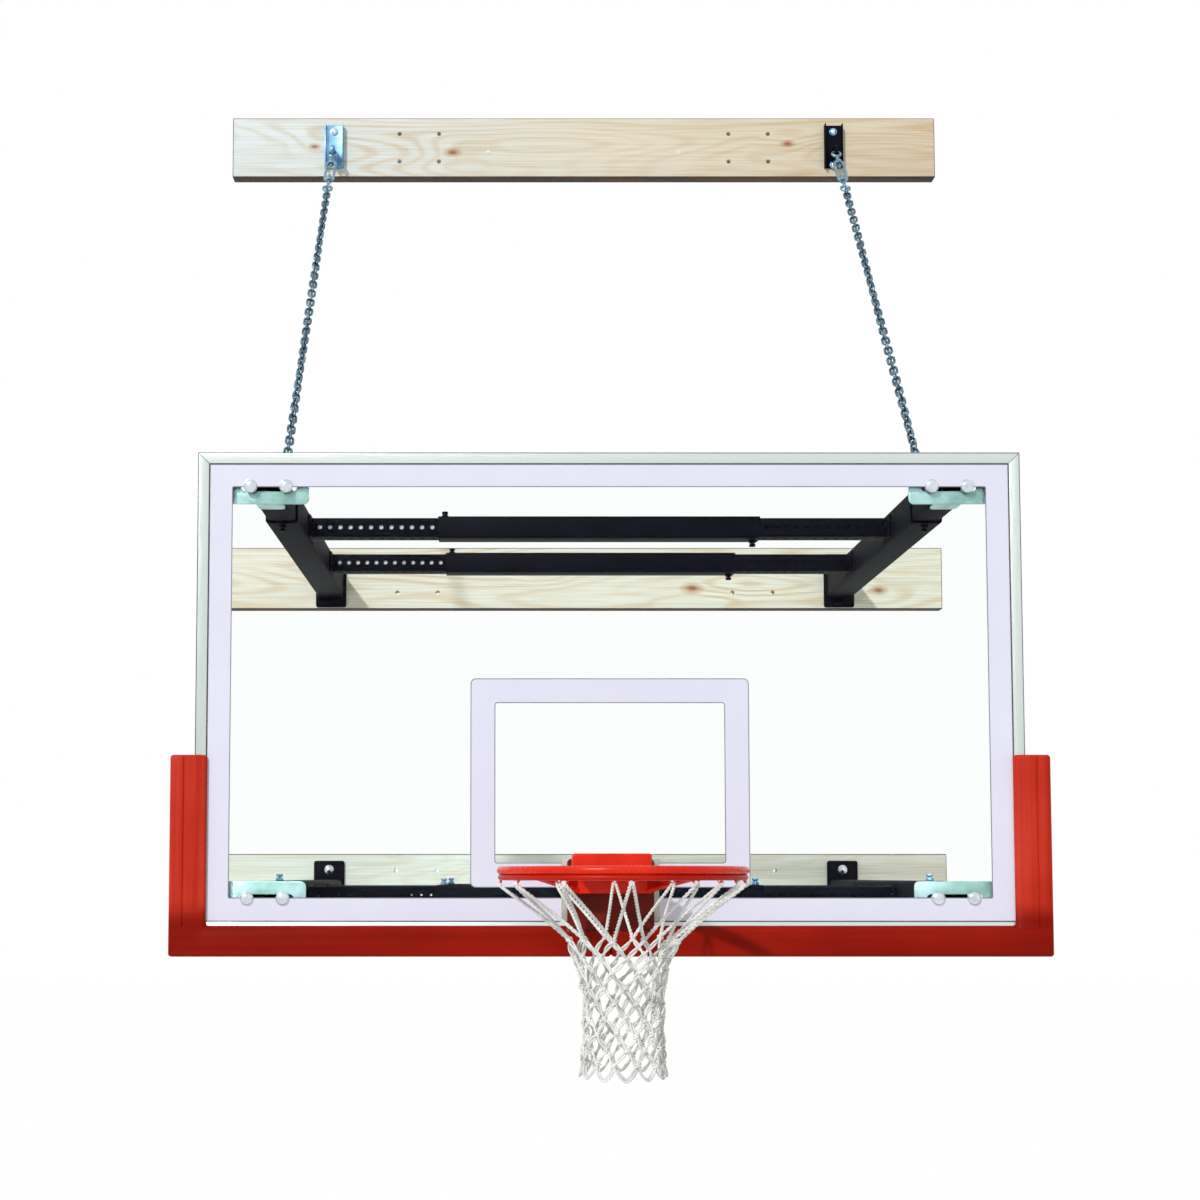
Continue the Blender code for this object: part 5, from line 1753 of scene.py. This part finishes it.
def make_pad(side, sign):
    """Half of the pad, modelled on the right and mirrored for the left."""
    low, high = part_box("edge_pad_right")
    leg_x = BOARD_HIGH.x - PAD_LEG_IN
    foot_z = BOARD_LOW.z + PAD_FOOT_UP
    pad = add_block(f"moulded_pad_{side}", (leg_x, low.y, low.z), (high.x, high.y, foot_z))
    pull_faces(pad, lambda spot, normal: normal.z > 0.9, (0, 0, high.z - foot_z))
    to_middle = lambda spot, normal: normal.x < -0.9 and spot.z < foot_z
    pull_faces(pad, to_middle, (low.x - leg_x, 0, 0))
    score(pad, (leg_x + PAD_STRIP, 0, 0), (1, 0, 0))
    score(pad, (0, 0, foot_z - PAD_STRIP / 2), (0, 0, 1))

    def is_inner(point):
        """Whether a point is on the front edge that faces the glass."""
        beside_leg = abs(point.x - leg_x) < TOUCHING and point.z > foot_z - TOUCHING
        over_foot = abs(point.z - foot_z) < TOUCHING and point.x < leg_x + TOUCHING
        return point.y < low.y + TOUCHING and (beside_leg or over_foot)

    shift_edges(pad, lambda a, b: is_inner(a) and is_inner(b), (0, PAD_LEAN, 0))
    soften(pad, PAD_EDGE, 4, 50)
    groove_x = high.x - LEG_GROOVE_IN
    groove_low = (groove_x - PAD_GROOVE, low.y - PAD_GROOVE, foot_z)
    groove_high = (groove_x + PAD_GROOVE, low.y + PAD_GROOVE, high.z + PAST)
    groove = add_block("groove", groove_low, groove_high)
    turn_piece(groove, math.pi / 4, "Z", (groove_x, low.y, 0))
    carve(pad, groove)
    pocket_low = (-0.5, BOARD_LOW.y - RAIL_GAP, BOARD_LOW.z - RAIL_GAP)
    pocket_high = (BOARD_HIGH.x + RAIL_GAP, BOARD_LOW.y + RAIL_DEPTH + RAIL_GAP, BOARD_HIGH.z)
    carve(pad, add_block("pocket", pocket_low, pocket_high))
    mount_low, mount_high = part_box("rim_mount_plate")
    relief_low = (-PAST, low.y - 2 * PAST, mount_low.z - 2 * RAIL_GAP)
    relief_high = (mount_high.x + 2 * RAIL_GAP, BOARD_LOW.y, foot_z + 2 * PAST)
    carve(pad, add_block("relief", relief_low, relief_high))
    if sign < 0:
        mirror = copy_piece(pad, pad.name + "_mirror", mirrored=True)
        bpy.data.objects.remove(pad)
        pad = mirror
        pad.name = f"moulded_pad_{side}"
    fit(pad, "backboard", pad_red, f"edge_pad_{side}")
    return pad


for side, sign in SIDES:
    made = make_pad(side, sign)
    print(made.name, in_mm(made.dimensions), "mm,", len(made.data.polygons), "faces")

# %% [markdown]
# The rim hangs from a steel block that fills the notch in the glass. The block is hollow behind and
# its pale sides show beside the red plate in front of it.

# %% Rim support
SUPPORT_WALL = 0.010
SUPPORT_CORNER = 0.006


def make_support():
    low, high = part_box("rim_support")
    block = add_block("support_block", low, high)
    soften(block, 0.002, 3)
    inset = Vector((SUPPORT_WALL, 0, SUPPORT_WALL))
    hollow_low = low + inset
    hollow_low.y = pane_high.y
    hollow_high = high - inset
    hollow_high.y = high.y + PAST
    carve(block, add_slab("hollow", hollow_low, hollow_high, SUPPORT_CORNER))
    return fit(block, "backboard", block_grey, "rim_support")


made = make_support()
print(made.name, in_mm(made.dimensions), "mm")

# %% [markdown]
# The mounting plate is bolted to the block and carries two ears for the breakaway pin. Plate and
# ears are one weldment, and four painted bolts show at its corners.

# %% Mounting plate, ears and bolts
pin_low, pin_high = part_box("hinge_pin")
PIN = Vector((0, (pin_low.y + pin_high.y) / 2, (pin_low.z + pin_high.z) / 2))
PIN_RADIUS = 0.005
PIN_BORE = PIN_RADIUS + 0.00045
EAR_AT = 0.055
EAR_WIDE = 0.008
EAR_ROUND = 0.012
MOUNT_THICK = 0.008
MOUNT_CORNER = 0.009
MOUNT_BOLTS = ((0.078, 0.016), (0.078, 0.142))
MOUNT_WASHER = 0.0105
MOUNT_WASHER_THICK = 0.002
MOUNT_HEAD = 0.0085
MOUNT_HEAD_FROM = 0.0015
MOUNT_HEAD_TO = 0.0075


def make_mount():
    low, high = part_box("rim_mount_plate")
    back = high.y
    plate = add_slab("mount_plate", (low.x, back - MOUNT_THICK, low.z), high, MOUNT_CORNER)
    soften(plate, 0.0015, 3)
    for side, sign in SIDES:
        root = (back - MOUNT_THICK / 2, PIN.z)
        hole = (PIN.y, PIN.z)
        join_on(plate, add_lug("ear", sign * EAR_AT, hole, root, EAR_WIDE, EAR_ROUND, PIN_BORE))
    # The plate and its bolts take the darkest copy of the enamel, as painted shade.
    fit(plate, "backboard", painted_shade_plate_enamel, "rim_mount_plate")
    for i, (across, rise) in enumerate(MOUNT_BOLTS):
        for side, sign in SIDES:
            foot = Vector((sign * across, back - MOUNT_THICK + 0.0003, low.z + rise))
            washer_face = foot - Vector((0, MOUNT_WASHER_THICK, 0))
            washer = add_washer("washer", foot, washer_face, MOUNT_WASHER)
            head_foot = foot - Vector((0, MOUNT_HEAD_FROM, 0))
            head_top = foot - Vector((0, MOUNT_HEAD_TO, 0))
            head = add_hexagon("head", head_foot, head_top, MOUNT_HEAD)
            fit(gather(f"mount_bolt_{i}_{side}", [washer, head]), "backboard", painted_shade_plate_enamel)
    return plate


made = make_mount()
print(made.name, in_mm(made.dimensions), "mm")

# %% [markdown]
# The pin is a bright bar with eased ends. The spring bolt stands in the plate and its broad head
# holds the return spring against the housing's back wall.

# %% Hinge pin, spring bolt and spring
SPRING_SHANK = 0.004
SPRING_HEAD_THICK = 0.004
SPRING_SHANK_SUNK = 0.001
SPRING_WIRE = 0.0014
SPRING_RADIUS = 0.008
SPRING_TURNS = 6
SPRING_STEPS = 32


def make_pin():
    low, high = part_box("hinge_pin")
    pin = add_bar("breakaway_pin", (low.x, PIN.y, PIN.z), (high.x, PIN.y, PIN.z), PIN_RADIUS, 32)
    soften(pin, 0.0012, 3)
    return fit(pin, "backboard", bright, "hinge_pin")


def make_spring_bolt():
    low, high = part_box("spring_bolt")
    z = (low.z + high.z) / 2
    head_foot = low.y + SPRING_HEAD_THICK
    shank_from = (0, head_foot - SPRING_SHANK_SUNK, z)
    shank = add_bar("shank", shank_from, (0, high.y, z), SPRING_SHANK, 24)
    head = add_washer("head", (0, head_foot, z), (0, low.y, z), (high.x - low.x) / 2)
    return fit(gather("return_bolt", [shank, head]), "backboard", bright, "spring_bolt")


def make_spring():
    """A wire circle wound up Z and turned to lie along Y, with its two ends capped."""
    low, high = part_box("return_spring")
    run = high.y - low.y - 2 * SPRING_WIRE
    z = (low.z + high.z) / 2
    start_clean()
    foot = (SPRING_RADIUS, 0, -run / 2)
    bpy.ops.mesh.primitive_circle_add(
        vertices=10, radius=SPRING_WIRE, rotation=(math.pi / 2, 0, 0), location=foot
    )
    spring = settle("coil_spring")
    wind_up(spring, 2 * math.pi * SPRING_TURNS, SPRING_STEPS * SPRING_TURNS, run)
    cap_ends(spring, 12)
    stand(spring, (0, (low.y + high.y) / 2, z), (math.pi / 2, 0, 0))
    fit(spring, "backboard", spring_wire, "return_spring", smooth=60)
    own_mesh(spring)
    return spring


make_pin()
make_spring_bolt()
made = make_spring()
print(made.name, in_mm(made.dimensions), "mm")

# %% [markdown]
# The rim is one weldment that tips on the pin. Its housing is a pressed cover, open below. The
# block's lower rear edge is sawn off, because that corner has to swing clear of the plate. Its
# edges are rounded, the faces below are deleted, and Solidify gives the steel its thickness.

# %% Rim housing
HOUSING_HALF = 0.086
HOUSING_FRONT = -0.0343
HOUSING_BACK = 0.0222
HOUSING_FOOT = -0.015
HOUSING_TOP = 0.071
HOUSING_WALL = 0.005
HOUSING_CORNER = 0.006
SPRING_SLOT_HALF = (0.0055, 0.014)
SPRING_SLOT_CORNER = 0.005
SPRING_RISE = 0.040


def about_pin(x, y, z):
    """A point given from the middle of the pin."""
    return PIN + Vector((x, y, z))


def make_housing():
    low = about_pin(-HOUSING_HALF, HOUSING_FRONT, HOUSING_FOOT)
    housing = add_block("housing", low, about_pin(HOUSING_HALF, HOUSING_BACK, HOUSING_TOP))
    sloped = Vector((0, -HOUSING_FOOT, -HOUSING_BACK)).normalized()
    saw_off(housing, about_pin(0, HOUSING_BACK, 0), sloped)
    bevel_edges(housing, lambda a, b: max(a.z, b.z) > PIN.z + 0.01, HOUSING_CORNER, 5)
    drop_faces(housing, lambda spot, normal: normal.z < -0.5)
    give_wall(housing, HOUSING_WALL)
    inside = HOUSING_HALF - HOUSING_WALL
    behind = HOUSING_BACK - 2 * HOUSING_WALL
    gap_low = about_pin(-inside, behind, HOUSING_FOOT - PAST)
    gap_high = about_pin(inside, HOUSING_BACK + PAST, EAR_ROUND + HOUSING_WALL)
    carve(housing, add_block("gap", gap_low, gap_high))
    slot_x, slot_z = SPRING_SLOT_HALF
    slot_low = about_pin(-slot_x, behind, SPRING_RISE - slot_z)
    slot_high = about_pin(slot_x, HOUSING_BACK + HOUSING_WALL, SPRING_RISE + slot_z)
    carve(housing, add_slab("slot", slot_low, slot_high, SPRING_SLOT_CORNER))
    carve(housing, add_bar("bore", about_pin(-0.2, 0, 0), about_pin(0.2, 0, 0), PIN_BORE, 32))
    return housing


rim = make_housing()
print("housing:", in_mm(rim.dimensions), "mm,", len(rim.data.polygons), "faces")

# %% [markdown]
# A neck plate and two round braces join the ring to the housing. The plate's front is cut to the
# ring's own curve. The ring is bar bent to a hoop of eighteen inches inside.

# %% Ring, neck and braces
RING_CENTRE = Vector((0, -1.600, -0.877))
RING_RADIUS = 0.2366
RING_ROD = 0.008
NECK_HALF = 0.081
NECK_THICK = 0.006
BRACE_ROD = 0.006
BRACE_TURN = math.radians(55)
HOUSING_FACE = PIN.y + HOUSING_FRONT + HOUSING_WALL / 2


def ring_point(angle, radius=RING_RADIUS, drop=0.0):
    """A point about the ring. Angle 0 is the rear, nearest the board."""
    return RING_CENTRE + Vector((radius * math.sin(angle), radius * math.cos(angle), -drop))


def make_neck():
    front = ring_point(math.asin(NECK_HALF / RING_RADIUS)).y
    half = NECK_THICK / 2
    high = (NECK_HALF, HOUSING_FACE, RING_CENTRE.z + half)
    neck = add_block("neck", (-NECK_HALF, front, RING_CENTRE.z - half), high)
    soften(neck, 0.0015, 2)
    reach = Vector((0, 0, 0.02))
    bend = RING_RADIUS - RING_ROD / 2
    carve(neck, add_bar("curve", RING_CENTRE - reach, RING_CENTRE + reach, bend, 128))
    return neck


join_on(rim, make_neck())
for side, sign in SIDES:
    foot = (sign * (NECK_HALF - BRACE_ROD), HOUSING_FACE, PIN.z + BRACE_ROD + HOUSING_FOOT)
    end = ring_point(sign * BRACE_TURN, drop=RING_ROD / 2)
    join_on(rim, add_bar("brace", foot, end, BRACE_ROD, 24))
join_on(rim, add_ring("ring", RING_CENTRE, RING_RADIUS, RING_ROD, steps=144, sides=20))
print("ring:", round(2 * (RING_RADIUS - RING_ROD), 4), "m inside")

# %% [markdown]
# An upright web fills the corner over each brace. It is a block laid along the brace, whose lower
# edge is lifted at the ring's end, so it is tall at the housing and thin at the ring.

# %% Webs
WEB_THICK = 0.004


def make_web(side, sign):
    foot = Vector((sign * (NECK_HALF - BRACE_ROD), HOUSING_FACE, RING_CENTRE.z))
    run = ring_point(sign * BRACE_TURN) - foot
    drop = RING_CENTRE.z - PIN.z - BRACE_ROD - HOUSING_FOOT
    half = WEB_THICK / 2
    web = add_block(f"rim_web_{side}", (0, -half, -drop), (run.length, half, -half))
    at_ring = lambda a, b: min(a.x, b.x) > run.length / 2 and max(a.z, b.z) < -drop / 2
    shift_edges(web, at_ring, (0, 0, drop - RING_ROD / 2))
    soften(web, 0.0008)
    stand(web, foot, (0, 0, math.atan2(run.y, run.x)))
    # The webs take a darker copy of the enamel, as painted shade.
    return fit(web, "rim", painted_shade_under_enamel)


for side, sign in SIDES:
    made = make_web(side, sign)
    print(made.name, in_mm(made.dimensions), "mm")

# %% [markdown]
# A second, thinner bar is welded on under the ring. It stiffens the rim and makes the deep red band
# that shows above the net, deeper red as painted shade. It stays its own piece, as the two bars
# only touch along a line.

# %% Lower bar of the ring
LOWER_ROD = 0.0056
LOWER_DROP = 0.0132

lower_centre = ring_point(0, 0, LOWER_DROP)
lower_ring = add_ring("ring_lower_bar", lower_centre, RING_RADIUS, LOWER_ROD, steps=144, sides=16)
fit(lower_ring, "rim", painted_shade_under_enamel, smooth=60)
print("lower bar:", in_mm(lower_ring.dimensions), "mm")

# %% [markdown]
# Twelve hooks under the ring carry the net. One is half a small ring with its ends pulled up into
# the bar, and Spin repeats it round the ring's centre.

# %% Net hooks
HOOK_COUNT = 12
HOOK_RADIUS = 0.008
HOOK_ROD = 0.0022
HOOK_DOWN = RING_ROD * 0.8 + HOOK_RADIUS


def make_hooks():
    centre = ring_point(math.pi, drop=HOOK_DOWN)
    hooks = add_ring("hooks", centre, HOOK_RADIUS, HOOK_ROD, (math.pi / 2, 0, 0), 24, 10)
    pick_all(hooks)
    bpy.ops.mesh.bisect(plane_co=centre, plane_no=(0, 0, 1), clear_outer=True)
    close_mesh()
    pick_edges(hooks, lambda a, b: min(a.z, b.z) > centre.z - 0.00001)
    bpy.ops.mesh.extrude_region_move(TRANSFORM_OT_translate={"value": (0, 0, HOOK_RADIUS)})
    close_mesh()
    cap_ends(hooks, 16)
    pick_all(hooks)
    copies = HOOK_COUNT - 1
    share = 2 * math.pi * copies / HOOK_COUNT
    bpy.ops.mesh.spin(steps=copies, dupli=True, angle=share, center=RING_CENTRE, axis=(0, 0, 1))
    bpy.ops.mesh.select_all(action="SELECT")
    bpy.ops.mesh.normals_make_consistent(inside=False)
    close_mesh()
    return hooks


hooks = make_hooks()
print("hooks:", len(hooks.data.polygons), "faces")
join_on(rim, hooks)
rim.name = "rim_weldment"
fit(rim, "rim", enamel, "rim_ring", smooth=30)

# %% [markdown]
# The net is cord knotted into diamonds. Every strand is a pair of cords laid round each other,
# tightly on the way up to the hooks and loosely in the diamonds. The strands are curves: first
# their middle lines are worked out from hook to knot and from knot to knot, then two helices follow
# each line.

# %% Where the net's knots are
NET_ROWS = 10
FIRST_DROP = 0.135
LAST_DROP = 0.397
WAIST = 0.0700
SHOULDER = 0.038
SHOULDER_FALL = 0.060
FLARE = 0.011
DROP_CHANCE = 0.004
ANGLE_CHANCE = 0.045
RADIUS_CHANCE = 0.002


def net_radius(drop):
    """The net draws in below the ring, hangs nearly straight and flares a little at its foot."""
    share = (drop - FIRST_DROP) / (LAST_DROP - FIRST_DROP)
    return WAIST + SHOULDER * math.exp(-(drop - FIRST_DROP) / SHOULDER_FALL) + FLARE * share**4


def knot_angle(row, i):
    """Rows are numbered from 0 under the hooks. Every other row lies half a step round."""
    shift = 0.5 if row % 2 == 0 else 0.0
    return math.pi + 2 * math.pi * (i + shift) / HOOK_COUNT


def knot_drop(row):
    """How far below the ring a row of knots hangs."""
    return FIRST_DROP + (LAST_DROP - FIRST_DROP) * row / (NET_ROWS - 1)


chance = random.Random(7)
knots = []
for row in range(NET_ROWS):
    places = []
    for i in range(HOOK_COUNT):
        uneven = chance.uniform(-DROP_CHANCE, DROP_CHANCE) * (row < NET_ROWS - 1)
        drop = knot_drop(row) + uneven
        angle = knot_angle(row, i) + chance.uniform(-ANGLE_CHANCE, ANGLE_CHANCE)
        radius = net_radius(drop) + chance.uniform(-RADIUS_CHANCE, RADIUS_CHANCE)
        places.append((angle, radius, drop))
    knots.append(places)
print(NET_ROWS, "rows of", HOOK_COUNT, "knots")

# %% [markdown]
# A strand needs two lines: the smooth middle line through its few points, and from it a pair of
# helices that wind round each other. Each point of a helix stands off the middle line by a turning
# offset.

# %% A pair of cords along a line
LAY_RADIUS = 0.0016
LAY_PITCH = 0.021
LOOSE_LAY = 0.0026
LOOSE_PITCH = 0.075
LAY_STEP = 0.0026


def smooth_line(points, count):
    """Points along a Catmull-Rom curve through the given points."""
    ends = [points[0] * 2 - points[1], *points, points[-1] * 2 - points[-2]]
    line = []
    for k in range(count + 1):
        t = k / count * (len(points) - 1)
        i = min(int(t), len(points) - 2)
        f = t - i
        a, b, c, d = ends[i : i + 4]
        bend = (2 * a - 5 * b + 4 * c - d) * f**2
        line.append(0.5 * (2 * b + (c - a) * f + bend + (3 * b - a - 3 * c + d) * f**3))
    return line


def away_from_axis(point):
    """The level direction from the net's axis to a point."""
    return Vector((point.x - RING_CENTRE.x, point.y - RING_CENTRE.y, 0)).normalized()


def lay_pair(points, phase, apart=LAY_RADIUS, pitch=LAY_PITCH):
    """Two helices round a smooth line: the pair of cords in one strand, tight or loose."""
    rough = sum((b - a).length for a, b in zip(points, points[1:]))
    count = max(6, int(rough / LAY_STEP))
    line = smooth_line(points, count)
    pair = [[], []]
    travelled = 0.0
    for k, point in enumerate(line):
        ahead = line[min(k + 1, count)]
        behind = line[max(k - 1, 0)]
        along = (ahead - behind).normalized()
        across = along.cross(away_from_axis(point)).normalized()
        outward = across.cross(along)
        travelled += (point - behind).length
        turn = phase + 2 * math.pi * travelled / pitch
        offset = (outward * math.cos(turn) + across * math.sin(turn)) * apart
        pair[0].append(point + offset)
        pair[1].append(point - offset)
    return pair


print("a tight lay turns every", round(LAY_PITCH * 1000), "mm")

# %% [markdown]
# A curve object can hold hundreds of splines and give all of them the same round section. It is
# turned into a mesh with the Convert operator, after which it is like any other piece.

# %% Cords as a mesh
CORD_RADIUS = 0.0022


def rope_mesh(name, lines, radius, sides=1, closed=False):
    """One mesh with a round cord along each line. The bevel resolution sets how round it is."""
    curve = bpy.data.curves.new(name, "CURVE")
    curve.dimensions = "3D"
    curve.bevel_depth = radius
    curve.bevel_resolution = sides
    curve.use_fill_caps = True
    for line in lines:
        spline = curve.splines.new("POLY")
        spline.points.add(len(line) - 1)
        for point, place in zip(spline.points, line):
            point.co = (*place, 1.0)
        spline.use_cyclic_u = closed
    rope = bpy.data.objects.new(name, curve)
    bpy.context.scene.collection.objects.link(rope)
    take(rope)
    bpy.ops.object.convert(target="MESH")
    rope = bpy.context.object
    face_outwards(rope)
    return rope


# %% [markdown]
# The upper strands run from each hook to the two nearest knots. Each rests in the foot of its hook
# in a small loop, and its two halves draw in a little on the way down.

# %% Upper strands
HOOK_SEAT = RING_ROD * 0.8 + 2 * HOOK_RADIUS + HOOK_ROD + 0.0025
LOOP_RISE = 0.0052
LOOP_TURN = 0.016
LOOP_DROP = 0.004
LOOP_IN = 0.001
DRAWN_IN = -0.004


def spot(place):
    """The point of a place that is given as angle, radius and drop."""
    angle, radius, drop = place
    return ring_point(angle, radius, drop)


def between(a, b, out):
    """The middle of two places, pushed out from the net's axis."""
    middle = (spot(a) + spot(b)) / 2
    return middle + away_from_axis(middle) * out


def upper_strands():
    """From one knot up over the hook's foot and down to the next knot, for each hook."""
    lines = []
    for i in range(HOOK_COUNT):
        angle = math.pi + 2 * math.pi * i / HOOK_COUNT
        left = knots[0][i - 1]
        right = knots[0][i]
        top = (angle, RING_RADIUS, HOOK_SEAT - LOOP_RISE)
        near_left = (angle - LOOP_TURN, RING_RADIUS - LOOP_IN, HOOK_SEAT + LOOP_DROP)
        near_right = (angle + LOOP_TURN, RING_RADIUS - LOOP_IN, HOOK_SEAT + LOOP_DROP)
        points = [spot(left), between(left, near_left, DRAWN_IN), spot(near_left), spot(top)]
        points += [spot(near_right), between(right, near_right, DRAWN_IN), spot(right)]
        lines.extend(lay_pair(points, chance.uniform(0, 6)))
    return lines


upper_net = rope_mesh("net_strands", upper_strands(), CORD_RADIUS)
fit(upper_net, "rim", cord_white, smooth=80)
print(upper_net.name, len(upper_net.data.polygons), "faces")

# %% [markdown]
# From every knot two loose strands run down to the next row, bowed outwards a little and swayed by
# chance, as soft cord hangs. The last row has no knots: its strands are U-shaped loops.

# %% Diamonds and loops
BOW = 0.0015
SWAY = 0.0035
LOOP_LIFT = 0.009


def diamond_strands():
    """From every knot down to the two knots below it, above the last row."""
    lines = []
    for row in range(NET_ROWS - 2):
        step = (0, 1) if row % 2 == 0 else (-1, 0)
        for i in range(HOOK_COUNT):
            for offset in step:
                a = knots[row][i]
                b = knots[row + 1][(i + offset) % HOOK_COUNT]
                sway = Vector([chance.uniform(-SWAY, SWAY) for axis in range(3)])
                points = [spot(a), between(a, b, BOW) + sway, spot(b)]
                lines.extend(lay_pair(points, chance.uniform(0, 6), LOOSE_LAY, LOOSE_PITCH))
    return lines


def foot_loops():
    """The last row hangs from the knots above it in U-shaped loops."""
    lines = []
    last = NET_ROWS - 2
    radius = net_radius(LAST_DROP)
    low = LAST_DROP - LOOSE_LAY
    quarter = math.pi / HOOK_COUNT / 2
    for i in range(HOOK_COUNT):
        a = knots[last][i]
        b = knots[last][(i + 1) % HOOK_COUNT]
        angle = knot_angle(last, i + 0.5)
        points = [
            spot(a),
            ring_point(angle - quarter * 1.1, radius, low - LOOP_LIFT),
            ring_point(angle, radius + 0.001, low),
            ring_point(angle + quarter * 1.1, radius, low - LOOP_LIFT),
            spot(b),
        ]
        lines.extend(lay_pair(points, chance.uniform(1.2, 1.9), LOOSE_LAY, 4 * LOOSE_PITCH))
    return lines


diamonds = rope_mesh("net_diamonds", diamond_strands(), CORD_RADIUS)
fit(diamonds, "rim", cord_white, "net", smooth=80)
loops = rope_mesh("net_foot", foot_loops(), CORD_RADIUS)
fit(loops, "rim", cord_white, smooth=80)
for made in (diamonds, loops):
    print(made.name, len(made.data.polygons), "faces")

# %% [markdown]
# Each knot is tied with two turns of cord that lean across each other. They are closed rings of few
# sides, because there are over two hundred of them.

# %% Tied knots
WRAP_LEAN = 0.6
WRAP_WIDE = 0.0058
WRAP_DEEP = 0.0050
WRAP_STEPS = 8


def knot_wraps():
    """Two small rings of cord crossed over every knot."""
    lines = []
    upright = Vector((0, 0, 1))
    for places in knots[: NET_ROWS - 1]:
        for place in places:
            centre = spot(place)
            out = away_from_axis(centre)
            side = upright.cross(out)
            for lean in (-WRAP_LEAN, WRAP_LEAN):
                along = (upright * math.sin(lean) + side * math.cos(lean)).normalized()
                wrap = []
                for k in range(WRAP_STEPS):
                    turn = 2 * math.pi * k / WRAP_STEPS
                    wide = along * WRAP_WIDE * math.cos(turn)
                    deep = out * WRAP_DEEP * math.sin(turn)
                    wrap.append(centre + wide + deep)
                lines.append(wrap)
    return lines


wraps = rope_mesh("net_knots", knot_wraps(), CORD_RADIUS, 0, True)
fit(wraps, "rim", cord_white, smooth=80)
print(wraps.name, len(wraps.data.polygons), "faces")

# %% Finish
print(len(fitted), "pieces")
